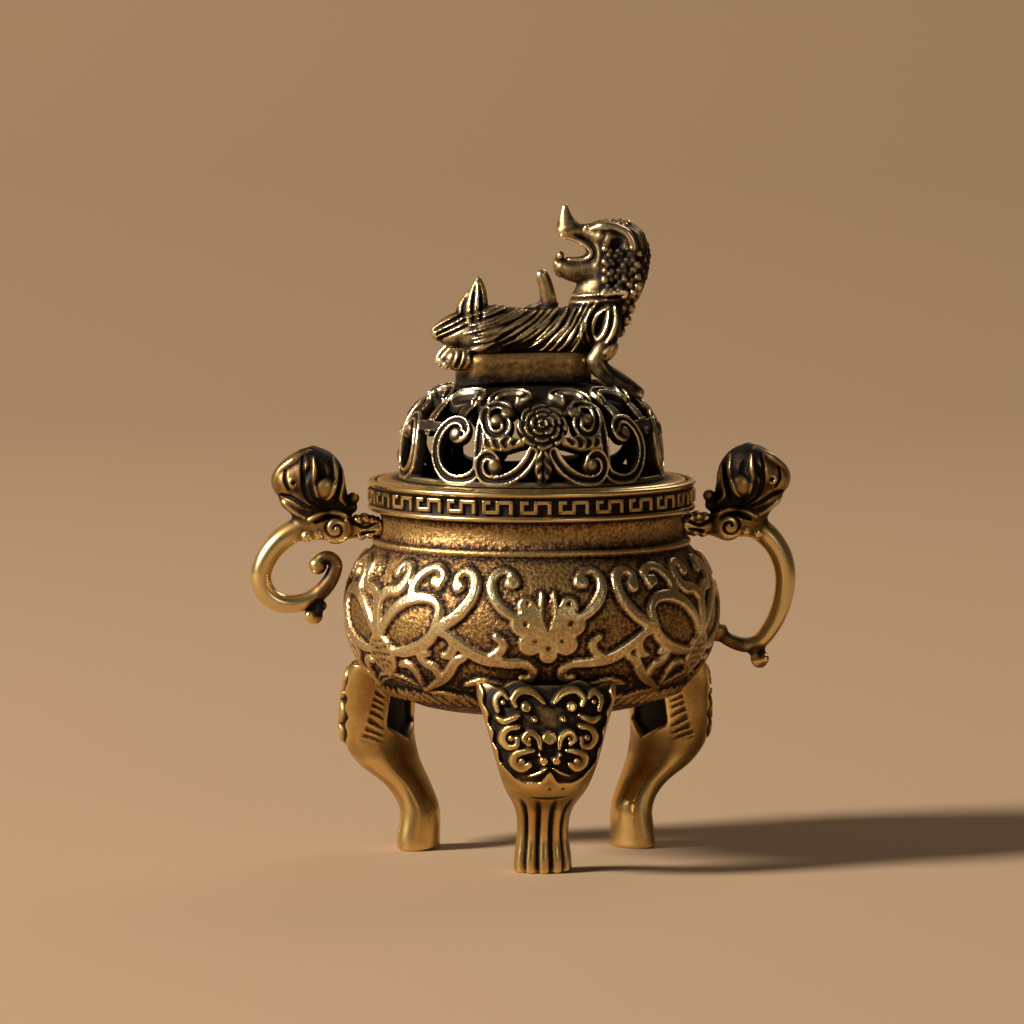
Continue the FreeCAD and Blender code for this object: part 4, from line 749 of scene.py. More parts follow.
def handle(heading, moves, bud_share, tail_ball):
    """A handle right of the bowl: points, quads and how far each point is rubbed."""
    tail = tail_line((BRACKET_END - 0.55, BRACKET_Z + 0.275), heading, moves, 1.18, 0.6)
    bud_x, _, bud_z, _ = tail[round(bud_share * (len(tail) - 1))]
    metal = Metal((13.4, -3.5, min(row[2] for row in tail) - 3.2), (28.2, 3.5, 41.2), HANDLE_STEP)
    metal.rod(tail, 0.2, flat=1.15)
    metal.rod([(13.0, 0, BRACKET_Z, 1.15), (17.2, 0, BRACKET_Z, 1.05), (19.4, 0, BRACKET_Z, 1.15)],
              0.3, flat=1.25)
    bracket_leaves = [(15.6, 0.75, 0.5), (16.3, 0.95, 0.55), (17.1, 0.8, 0.5), (16.0, -0.6, 0.5),
                      (16.9, -0.7, 0.55)]
    for leaf_x, leaf_z, half in bracket_leaves:
        for side in (-1, 1):
            metal.ball((leaf_x, side * 0.8, BRACKET_Z + leaf_z), (half, 0.6, 0.42), 0.12, tilt=30)
    metal.rod([(19.0, 0, BRACKET_Z, 1.5), (20.2, 0, BRACKET_Z + 0.1, 1.35), (21.6, 0, BRACKET_Z, 1.1)],
              0.3, flat=1.15)
    for side in (-1, 1):
        metal.ball((19.25, side * 1.15, BRACKET_Z), (1.5, 0.75, 1.5), 0.15)
        metal.ball((21.0, side * 1.1, BRACKET_Z - 0.55), 0.5, 0.12)
        metal.ball((22.15, side * 1.05, BRACKET_Z - 0.75), 0.6, 0.12)
    metal.ball((21.4, 0, 37.6), (2.85, 2.5, 2.85), 0.4)
    metal.rod([(22.0, 0, 37.8, 2.3), (23.6, 0, 37.2, 1.9), (24.0, 0, 37.0, 1.35)], 0.5, flat=1.05)
    metal.rod([(22.2, 0, 35.6, 1.8), (23.4, 0, 35.4, 1.3), (24.0, 0, 35.6, 0.8)], 0.3, flat=1.15)
    metal.rod([(22.0, 0, 36.0, 2.1), (21.8, 0, 34.4, 1.85), (21.4, 0, 33.0, 1.5)], 0.5)
    metal.rod([(20.4, 0, 37.4, 2.0), (19.7, 0, 35.8, 1.6), (18.9, 0, 34.4, 1.1), (17.7, 0, 34.5, 0.6)], 0.4)
    metal.ball((17.5, 0, 35.4), 0.6, 0.15)
    metal.ball((21.4, 0, 40.1), (0.6, 0.9, 0.5), 0.15)
    for side in (-1, 1):
        metal.rod([(21.9, side * 1.1, 40.0, 0.35), (23.4, side * 1.35, 39.2, 0.45),
                   (24.7, side * 1.0, 38.2, 0.35), (25.0, side * 0.8, 37.2, 0.3),
                   (24.6, side * 0.7, 36.2, 0.2)], 0.15)
        metal.ball((23.5, side * 1.85, 37.1), (0.6, 0.4, 0.6), 0.1)
        metal.ball((23.5, side * 2.3, 37.1), (0.28, 0.35, 0.28), 0.06, carve=True)
        metal.ball((20.65, side * 2.85, 38.5), (0.62, 0.85, 1.7), 0.1, tilt=-8, carve=True)
        metal.ball((20.5, side * 2.05, 36.6), (1.15, 0.8, 1.15), 0.12)
        metal.ball((22.2, side * 2.75, 38.0), (0.42, 0.6, 1.5), 0.1, tilt=25, carve=True)
    raised = [curve(points) for points in (
        [(19.5, 39.5, 0.08), (19.25, 37.9, 0.2), (19.6, 36.2, 0.18), (20.3, 35.3, 0.08)],
        [(18.85, 38.7, 0.08), (18.5, 37.2, 0.2), (18.8, 35.6, 0.2), (18.3, 34.8, 0.1)],
        [(21.5, 39.6, 0.08), (21.45, 38.3, 0.2), (21.5, 36.9, 0.18), (21.2, 35.7, 0.08)],
        [(24.5, 35.2, 0.08), (23.6, 34.3, 0.18), (22.4, 33.6, 0.08)],
        [(17.8, 33.6, 0.1), (19.2, 34.2, 0.24), (20.8, 34.0, 0.2), (22.0, 33.4, 0.1)],
    )]
    spiral = [(19.35 + r * math.cos(a), BRACKET_Z + r * math.sin(a), 0.1) for r, a in
              zip(np.linspace(0.25, 1.25, 22), np.linspace(0.4, 8.6, 22))]
    cuts = [spiral] + [curve(points) for points in (
        [(18.9, 39.4, 0.05), (18.85, 37.6, 0.16), (19.2, 35.9, 0.14), (19.4, 34.9, 0.05)],
        [(22.5, 39.6, 0.05), (22.6, 38.2, 0.18), (22.5, 36.8, 0.2), (22.0, 35.4, 0.16), (21.0, 34.7, 0.06)],
        [(24.6, 35.9, 0.1), (23.6, 35.6, 0.2), (22.6, 35.0, 0.18), (21.4, 34.5, 0.06)],
        [(24.2, 38.3, 0.05), (24.3, 37.3, 0.14), (23.9, 36.4, 0.1)],
        [(18.4, 33.2, 0.05), (19.6, 33.7, 0.12), (21.4, 33.2, 0.1)],
        [(15.4, 33.0, 0.05), (16.4, 32.6, 0.14), (17.6, 33.1, 0.08)],
        [(15.4, 32.2, 0.05), (16.3, 32.1, 0.12), (17.3, 31.8, 0.06)],
    )]
    side_relief(metal, raised, cuts)
    metal.ball((bud_x, 0, bud_z - 1.8), 0.9, 0.12)
    metal.ball((bud_x - 0.55, 0, bud_z - 0.85), (0.75, 0.8, 0.6), 0.12)
    metal.rod([(bud_x, 0, bud_z, 0.55), (bud_x, 0, bud_z - 1.2, 0.5)], 0.3)
    for side in (-1, 1):
        metal.ball((bud_x + 0.4, side * 0.55, bud_z - 1.75), 0.5, 0.1)
        metal.ball((bud_x - 0.5, side * 0.4, bud_z - 1.35), 0.42, 0.1)
    end_x, _, end_z, _ = tail[-1]
    metal.ball((end_x, 0, end_z), tail_ball + 0.12, 0.15)
    x, y, z = metal.whole()
    r = np.hypot(x, y)
    wall = np.where(z < SHOULDER_Z, belly_gap(r, z), r - np.where(z < BEAD_TOP_Z, BEAD_R, NECK_R - 0.05))
    metal.field[:] = np.maximum(metal.field, SEAM - wall)
    points, quads, wear = metal.cast(reach=0.34, gain=1.5, base=0.26)
    stem = np.hypot(points[:, 0] - bud_x + 0.2, points[:, 2] - bud_z + 1.0)
    return points, quads, wear - 0.55 * ease(-stem, -1.2, -0.6)


handle_brass = old_brass("handle brass", Speckle=0.4, Speckle_Scale=2400.0, Cloud=0.4)
right = handle(-18, [(5.9, -72), (9.0, -40), (2.2, -60), (4.5, -36)], 0.75, 0.85)
left = handle(-3, [(6.08, -69), (2.71, -106), (4.69, -77), (0.885, -190)], 0.7, 0.78)
for name, (points, quads, wear), side in (("handle_right", right, 1), ("handle_left", left, -1)):
    px, py, pz = points.T
    wear = wear + 0.5 * ease(-pz, -32.6, -31.0)
    wear = wear - 0.3 * ease(pz, 33.4, 34.4) * ease(23.4 - px, 0.0, 0.8)
    wear = wear + 0.1 * ease(pz, 30.5, 31.5) * ease(-pz, -34.0, -33.4)
    wear = wear + 0.42 * ease(1.05 - np.hypot(px - 20.5, pz - 36.6), 0.0, 0.5)
    # Painted shade on the end of the tail's curl.
    tail_curl_painted_shade = 0.35 * ease(22.4 - px, 0.0, 1.6) + 0.3 * ease(21.6 - px, 0.0, 1.0)
    wear = wear - ease(-pz, -31.0, -30.2) * tail_curl_painted_shade
    points = points * np.array([side, 1, 1])
    piece = new_piece(name + "_cast", points, quads if side > 0 else quads[:, ::-1], wear)
    piece.data.materials.append(handle_brass)
    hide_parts(name)
    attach(piece, "burner")

# Screws: small slotted brass screws hold the legs and handles from inside the bowl, and a longer
# one with a washer holds the lion and its plinth from inside the lid. They are bought turned parts.
screw_brass = bpy.data.materials.new("screw brass")
screw_brass.use_nodes = True
screw_tree = screw_brass.node_tree
screw_place = add_node(screw_tree, "ShaderNodeTexCoord", (-900, 0)).outputs["Object"]
screw_noise = add_node(screw_tree, "ShaderNodeTexNoise", (-700, 0), {
    "Vector": screw_place, "Scale": 900.0, "Detail": 4.0}).outputs["Fac"]
screw_ramp = add_node(screw_tree, "ShaderNodeValToRGB", (-450, 100), {"Fac": screw_noise})
dark_end, bright_end = screw_ramp.color_ramp.elements
dark_end.position = 0.35
dark_end.color = (0.12, 0.065, 0.02, 1)
bright_end.position = 0.65
bright_end.color = (0.48, 0.3, 0.11, 1)
screw_rough = add_node(screw_tree, "ShaderNodeMapRange", (-450, -200), {
    "Value": screw_noise, "To Min": 0.5, "To Max": 0.3})
screw_surface = screw_tree.nodes["Principled BSDF"].inputs
screw_surface["Metallic"].default_value = 1.0
screw_tree.links.new(screw_ramp.outputs["Color"], screw_surface["Base Color"])
screw_tree.links.new(screw_rough.outputs["Result"], screw_surface["Roughness"])
for name in ("leg_screws", "handle_screws", "knob_screw", "knob_washer"):
    node = bpy.data.objects[name]
    node.data.materials.clear()
    node.data.materials.append(screw_brass)

# Lid ring: a flat turned brass ring that drops into the rim's rebate, with a short spigot below
# that centres it in the neck. Its top is rubbed bright outside and dark against the dome.
lid_profile = [
    (11.95, 36.5, 0.2), (12.25, 36.5, 0.2), (12.25, 35.05, 0.2), (12.35, 35.0, 0.3), (13.25, 35.0, 0.3),
    (13.35, 35.08, 0.3), (13.35, 36.5, 0.2), (15.15, 36.5, 0.2), (15.2, 36.6, 0.4), (15.2, 36.95, 0.8),
    (15.1, 37.18, 0.9), (14.85, 37.3, 0.85), (14.5, 37.3, 0.7), (14.1, 37.3, 0.6), (13.7, 37.3, 0.4),
    (13.3, 37.3, 0.15), (13.05, 37.3, 0.05), (11.95, 37.3, 0.1),
]
lid_ring = turned_ring("lid_ring_turned", lid_profile)
lid_ring.data.materials.append(rim_brass)
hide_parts("lid_ring")
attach(lid_ring, "lid")

# Dome: a thin cast cap pierced between roses, scrolls and leaves, soldered on the lid ring.
# Every scroll has two raised edges and a groove along its middle; a leaf hangs below each rose.
# It is the darkest piece, rubbed only on its edges, and the smoke leaves through its openings.
DOME_R = 13.05
DOME_Z = 37.3
DOME_SIDE_H = 1.7
DOME_H = 9.7
DOME_T = 1.1
DOME_SQUARENESS = 1.4
BAND_H = 0.6
CROWN_R = 10.1
LEAN = math.radians(30.0)
STRAND_HALF = 0.52
ROSE_UP = 5.7
ROSE_R = 2.35
DOME_STEP = 0.125
SHELL_REACH = 2.2


def dome_profile():
    """The dome's outline from its foot over the shoulder to the crown."""
    t = np.linspace(0, 1, 80)[:, None]
    side = np.array((DOME_R, DOME_Z + DOME_SIDE_H))
    corner = np.array((DOME_R, DOME_Z + DOME_H))
    top = np.array((0.0, DOME_Z + DOME_H))
    over = (1 - t) ** 2
    bend = 2 * t * (1 - t) * DOME_SQUARENESS
    rounded = (side * over + corner * bend + top * t * t) / (over + bend + t * t)
    return np.vstack([[(DOME_R, DOME_Z - 3.0)], rounded])


def looked_up(table, first, step, a, b):
    """Values of a flat table at places a, b, straight between its points."""
    i = np.clip((a - first[0]) / step, 0, table.shape[0] - 1.001)
    j = np.clip((b - first[1]) / step, 0, table.shape[1] - 1.001)
    ci = i.astype(int)
    cj = j.astype(int)
    fi = i - ci
    fj = j - cj
    low = table[ci, cj] * (1 - fj) + table[ci, cj + 1] * fj
    return low * (1 - fi) + (table[ci + 1, cj] * (1 - fj) + table[ci + 1, cj + 1] * fj) * fi


dome = Metal((-13.9, -13.9, DOME_Z - 0.3), (13.9, 13.9, DOME_Z + DOME_H + 0.5), DOME_STEP)
table_step = 0.05
out, up = np.meshgrid(np.arange(0, 20.5, table_step),
                      np.arange(DOME_Z - 1, DOME_Z + DOME_H + 1.5, table_step), indexing="ij")
profile = dome_profile()
outline = [(px, pz, 0.0) for px, pz in profile]
outside = -strand(out, up, outline)
crown_at = np.interp(up, profile[:, 1], profile[:, 0])
within = (out < crown_at) & (up < DOME_Z + DOME_H)
shell_table = np.where(within, -outside, outside)


def dome_gap(x, y, z):
    """Distance outside the dome's plain outer face."""
    return looked_up(shell_table, (0, DOME_Z - 1), table_step, np.hypot(x, y) + 0 * z, z + 0 * x + 0 * y)


half_panel = DOME_R * math.sin(math.pi / SECTORS / 2)
panel_first = (-half_panel - 1, -1.5)
pu, pv = np.meshgrid(np.arange(panel_first[0], half_panel + 1, table_step),
                     np.arange(panel_first[1], 13.5, table_step), indexing="ij")


def on_panel(table, panel_u, panel_v):
    """Values of a table drawn on a panel, at places across and up it."""
    return looked_up(table, panel_first, table_step, panel_u, panel_v)


dome_scrolls = [[(a, b, STRAND_HALF) for a, b in walk(*drawing)] for drawing in (
    ((2.56, 4.63), -141,
     [(0.72, -153), (1.39, -100.5), (2.98, -172.4), (1.32, -61), (50.0, -5.7), (1.16, 177)]),
    ((1.75, 4.75), 0, [(5.0, 8)]),
    ((-0.28, 7.46), -90, [(3.71, -38), (0.95, -165), (0.62, -110)]),
    ((-5.53, 3.75), -73, [(4.48, 58), (2.02, 39), (1.11, 128), (0.7, 140)]),
)]
dome_ties = [[(a, b, STRAND_HALF) for a, b in walk(*drawing)] for drawing in (
    ((1.32, 8.55), -37, [(2.33, -57)]),
    ((6.25, 5.7), 106, [(40.0, 8)]),
    ((4.1, 5.7), 12, [(20.0, 6)]),
)]
dome_leaf = curve([(-0.3, 3.9, 0.45), (-1.6, 4.0, 0.62), (-2.6, 4.15, 0.8), (-3.6, 4.3, 0.55),
                   (-4.4, 4.5, 0.4)])
drawn = strand(pu, pv, dome_leaf)
dome_relief = 0.2 * ease(drawn, 0.0, 0.25) * ease(np.sin(7.0 * pu + 3.6 * np.abs(pv - 4.1)), -0.4, 0.4)
dome_edges = np.exp(-((drawn - 0.08) / 0.12) ** 2)
for line in dome_ties:
    inside_strand = strand(pu, pv, line)
    dome_relief = np.where(inside_strand > -0.1, -0.25 * ease(inside_strand, -0.1, 0.2), dome_relief)
    drawn = np.maximum(drawn, inside_strand)
for line in dome_scrolls:
    inside_strand = strand(pu, pv, line)
    lip = ease(inside_strand, -0.05, 0.1)
    dome_relief = dome_relief * (1 - lip) - 0.3 * ease(inside_strand, 0.2, 0.4)
    dome_edges = dome_edges * (1 - lip) + lip * np.exp(-((inside_strand - 0.1) / 0.13) ** 2)
    drawn = np.maximum(drawn, inside_strand)
for line in dome_scrolls:
    ball = 0.72 - np.hypot(pu - line[-1][0], pv - line[-1][1])
    lip = ease(ball, -0.05, 0.05)
    dome_relief = dome_relief * (1 - lip) + 0.16 * ease(ball, 0.0, 0.5)
    dome_edges = dome_edges * (1 - lip) + 0.7 * ease(ball, 0.2, 0.5)
    drawn = np.maximum(drawn, ball)


def rose_turn(px, py):
    """Angle round the axis from the nearest rose."""
    sector = 2 * math.pi / SECTORS
    return (np.arctan2(py, px) + math.pi / 2 + sector / 2) % sector - sector / 2


def panel_place(px, py, pz, middle):
    """Where places lie on the leaning panels: across and up a panel at an angle from the nearest rose."""
    turn = rose_turn(px, py)
    turn = np.abs(turn) - middle if middle else turn
    away = np.hypot(px, py)
    up_panel = (DOME_R - away * np.cos(turn)) * math.sin(LEAN) + (pz - DOME_Z) * math.cos(LEAN)
    return away * np.sin(turn), up_panel


# Rings of petals as (radius, petals, turn, how far they stand proud), from the heart outwards.
rose_rings = ((0.5, 3, 0.3, 0.5), (1.15, 5, 0.9, 0.44), (1.75, 6, 0.2, 0.36), (ROSE_R, 8, 0.4, 0.28))


def rose_place(px, py, pz):
    """How deep places lie in a rose or the leaf below it, and how far both stand proud there."""
    across, up_panel = panel_place(px, py, pz, 0.0)
    far = np.hypot(across, up_panel - ROSE_UP)
    turn = np.arctan2(up_panel - ROSE_UP, across)
    proud = np.zeros(far.shape)
    inner = np.zeros(far.shape)
    for reach, lobes, phase, level in rose_rings:
        lobe = np.cos(0.5 * lobes * (turn - phase + 0.5 * far))
        rim = reach * (0.93 + 0.13 * np.abs(lobe))
        share = np.clip((far - inner) / (rim - inner), 0, 1)
        parted = np.exp(-(lobe / 0.2) ** 2)
        petal = level - 0.3 * (1 - share) ** 1.5 - 0.22 * parted * ease(share, 0.1, 0.5)
        proud = np.where((far >= inner) & (far < rim), petal, proud)
        inner = np.maximum(inner, rim)
    leaf = 0.85 * np.sin(np.clip((up_panel - 0.3) / 3.4, 0, 1) ** 0.8 * math.pi) - np.abs(across)
    leaf = np.where(np.abs(up_panel - 2.0) < 1.7, leaf, -9.0)
    veins = 0.12 * ease(np.sin(6.5 * (up_panel + 0.8 * np.abs(across))), -0.3, 0.5)
    veins = veins - 0.2 * np.exp(-(across / 0.1) ** 2)
    in_leaf = ease(leaf, -0.05, 0.1) * (far > inner)
    return np.maximum(inner - far, leaf), proud + in_leaf * (0.1 + veins)


crown_lines = [curve(points) for points in (
    [(4.9, 9.2, 0.4), (3.6, 8.1, 0.5), (2.0, 8.2, 0.5), (1.2, 9.2, 0.44), (2.0, 9.7, 0.4)],
    [(8.6, 5.3, 0.4), (7.2, 5.4, 0.5), (5.9, 6.2, 0.5), (5.5, 7.4, 0.46), (6.3, 8.1, 0.4)],
)]


def crown_place(px, py):
    """How deep places lie in the scrolls that lie on the closed crown."""
    turn = np.abs(rose_turn(px, py))
    away = np.hypot(px, py)
    near = away < CROWN_R + 0.6
    depth = np.full(away.shape, -9.0)
    depth[near] = np.max([strand((away * np.sin(turn))[near], (away * np.cos(turn))[near], line)
                          for line in crown_lines], axis=0)
    return depth


x, y, z = dome.whole()
near_shell = dome_gap(x, y, z)
spans = np.nonzero(np.abs(near_shell) < SHELL_REACH)
x, y, height = [np.broadcast_to(way, near_shell.shape)[spans] for way in (x, y, z)]
shell = near_shell[spans]
panel_u, panel_v = panel_place(x, y, height, math.pi / SECTORS / 2)
in_rose, rose_proud = rose_place(x, y, height)
over_rose = ease(in_rose, -0.05, 0.1)
metal_in = np.maximum(on_panel(drawn, panel_u, panel_v), in_rose)
raised = on_panel(dome_relief, panel_u, panel_v) * (1 - over_rose) + rose_proud
foot = BAND_H - (height - DOME_Z)
crown = CROWN_R - np.hypot(x, y) + 0.2 * np.sin(1.9 * panel_u + 0.6)
closed = np.maximum(np.maximum(metal_in, foot), crown)
on_crown = np.where(crown > -0.3, crown_place(x, y), -9.0)
raised = raised + 0.45 * ease(on_crown, -0.1, 0.12) - 0.35 * ease(on_crown, 0.14, 0.34)
outer = shell - raised * ease(-foot, -0.2, 0.2)
bare = ease(-np.maximum(metal_in, on_crown), 0.05, 0.25) * ease(crown, -0.2, 0.1)
outer = outer + 0.35 * bare
wall = np.maximum(outer, -shell - DOME_T)
dome.field[spans] = np.maximum(carved(wall, closed, 0.22), DOME_Z - height)
dome.field[np.nonzero(near_shell <= -SHELL_REACH)] = FAR
dome_points, dome_quads, dome_wear_and_shade = dome.cast(reach=0.3, gain=1.35, base=0.06)
px, py, pz = dome_points.T
inner_face = dome_gap(px, py, pz)
panel_u, panel_v = panel_place(px, py, pz, math.pi / SECTORS / 2)
edges = on_panel(dome_edges, panel_u, panel_v)
in_rose, rose_proud = rose_place(px, py, pz)
edges = edges * (1 - ease(in_rose, -0.05, 0.1))
on_crown = crown_place(px, py)
edges = np.maximum(edges, 0.6 * np.exp(-((on_crown - 0.1) / 0.11) ** 2))
# Painted shade on the crown, which holds down its lit top.
dome_wear_and_shade = dome_wear_and_shade - 0.06 * ease(CROWN_R + 0.2 - np.hypot(px, py), 0.0, 0.6)
dome_wear_and_shade = dome_wear_and_shade + 0.55 * edges * ease(inner_face, -0.4, -0.1)
# Darker on the inner face of the shell.
dome_wear_and_shade = dome_wear_and_shade - 0.4 * ease(-inner_face, 0.35, 0.9)
dome_piece = new_piece("lid_dome_pierced", dome_points, dome_quads, dome_wear_and_shade)
dome_piece.data.materials.append(old_brass(
    "lid brass", Speckle=0.16, Speckle_Scale=3200.0, Cloud=0.2, Ground=(0.045, 0.027, 0.013, 1),
    Brass=(0.36, 0.25, 0.11, 1), Rubbed=(0.86, 0.74, 0.5, 1)))
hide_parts("lid_dome")
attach(dome_piece, "lid")

# Plinth: a rounded cast slab under the lion, fitted to the dome's crown and held by the same screw.
# Its sides keep a coarse golden grain.
PLINTH_X = -0.8
PLINTH_L = 13.4
PLINTH_W = 7.6
PLINTH_CORNER = 3.0
PLINTH_EDGE = 0.9
PLINTH_TOP_Z = 49.7
PLINTH_STEP = 0.12


def plinth_plan(x, y):
    """Distance outside the plinth's outline, seen from above."""
    along = np.abs(x - PLINTH_X) - (PLINTH_L / 2 - PLINTH_CORNER)
    across = np.abs(y) - (PLINTH_W / 2 - PLINTH_CORNER)
    outside = np.hypot(np.maximum(along, 0), np.maximum(across, 0))
    return outside + np.minimum(np.maximum(along, across), 0) - PLINTH_CORNER


plinth = Metal((-8.2, -4.6, 43.5), (6.6, 4.6, 50.2), PLINTH_STEP)
x, y, z = plinth.whole()
inset = plinth_plan(x, y) + PLINTH_EDGE
over_edge = z - PLINTH_TOP_Z + PLINTH_EDGE
slab = np.hypot(np.maximum(inset + 0.1, 0), np.maximum(over_edge, 0)) - PLINTH_EDGE
slab = slab + np.minimum(np.maximum(inset, over_edge), 0)
plinth.field[:] = np.maximum(slab, SEAM - dome_gap(x, y, z))
plinth_points, plinth_quads, plinth_wear = plinth.cast(reach=0.5, gain=0.5, base=0.4)
plinth_wear = plinth_wear - 0.5 * ease(-plinth_points[:, 2], -48.0, -47.0)
plinth_piece = new_piece("plinth_cast", plinth_points, plinth_quads, plinth_wear)
plinth_piece.data.materials.append(old_brass(
    "plinth brass", bump=0.0002, Speckle=0.75, Speckle_Scale=2000.0, Cloud=0.5))
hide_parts("plinth")
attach(plinth_piece, "lid")

# Lion: the knob, a lion lying along the plinth with its head thrown back and its mouth open.
# Cast solid: combed hair on the body, a beaded mane, a collar, a flame tail and fluted plumes.
# The long screw from inside the lid ends in its body.
LION_STEP = 0.115
lion = Metal((-10.6, -4.3, 44.6), (12.3, 4.3, 64.9), LION_STEP)


def lion_rod(stations, blend=0.3, flat=1.0, carve=False):
    """A rod in the lion along (x, y, height over the plinth, radius); without y it runs along the middle."""
    rows = [row if len(row) == 4 else (row[0], 0.0, row[1], row[2]) for row in stations]
    lion.rod([(a, b, PLINTH_TOP_Z + c, r) for a, b, c, r in rows], blend, flat, carve)


def lion_ball(place, half, blend=0.3, tilt=0.0, carve=False):
    """An egg-shaped form in the lion at (x, y, height over the plinth)."""
    px, py, pz = place
    lion.ball((px, py, PLINTH_TOP_Z + pz), half, blend, tilt, carve)


def lion_line(points, steps=5):
    """A smooth line in the side view of the lion through (x, height over the plinth, half width)."""
    return curve([(u, PLINTH_TOP_Z + v, half) for u, v, half in points], steps)


def combed(metal, locks, height):
    """Pointed locks with round backs on both sides of a form, drawn in the side view."""
    flat_x, flat_z, y = side_view(metal)
    lift = np.zeros(flat_x.shape, np.float32)
    for line in locks:
        inside = np.clip(strand(flat_x, flat_z, line) / 0.2, 0, 1)
        lift = np.maximum(lift, height * np.sqrt(inside))
    metal.field -= lift[:, None, :] * ease(np.abs(y), 0.4, 1.1)


jitter = np.random.default_rng(5)
lion_rod([(-8.0, 1.7, 1.2), (-6.4, 1.95, 2.1), (-3.6, 2.0, 2.5), (0.0, 1.75, 2.3), (3.4, 1.8, 2.5),
          (6.0, 2.2, 2.2)], 0.3, 1.15)
lion_rod([(5.8, 1.4, 2.2), (6.3, 3.9, 2.6), (7.2, 6.0, 2.75), (7.8, 8.0, 2.7)], 0.5)
lion_ball((8.3, 0, 9.8), (2.95, 2.6, 2.95), 0.5)
lion_rod([(9.6, 10.8, 1.6), (9.9, 9.0, 1.5), (9.5, 7.0, 1.4), (8.8, 5.2, 1.3)], 0.4, 1.5)
lion_rod([(7.2, 11.0, 1.7), (5.6, 11.5, 1.0), (4.3, 11.65, 0.7), (3.0, 11.65, 0.6)], 0.3, 1.5)
lion_rod([(3.7, 11.7, 1.25), (3.4, 12.6, 0.85), (3.3, 13.4, 0.55), (3.3, 14.1, 0.3)], 0.4)
lion_rod([(7.0, 8.0, 1.7), (5.4, 7.95, 1.4), (4.0, 7.95, 1.15), (3.0, 8.25, 0.85)], 0.3, 1.4)
lion_rod([(5.5, 9.7, 0.3), (4.6, 9.95, 0.7), (3.4, 10.25, 0.95), (2.0, 10.45, 1.0)], 0.12, 3.0, carve=True)
lion_ball((2.75, 0, 9.35), (0.45, 0.95, 0.6), 0.12)
lion_ball((2.45, 0, 8.6), (0.4, 0.8, 0.48), 0.1)
lion_ball((2.9, 0, 7.7), (0.6, 0.8, 0.5), 0.12)
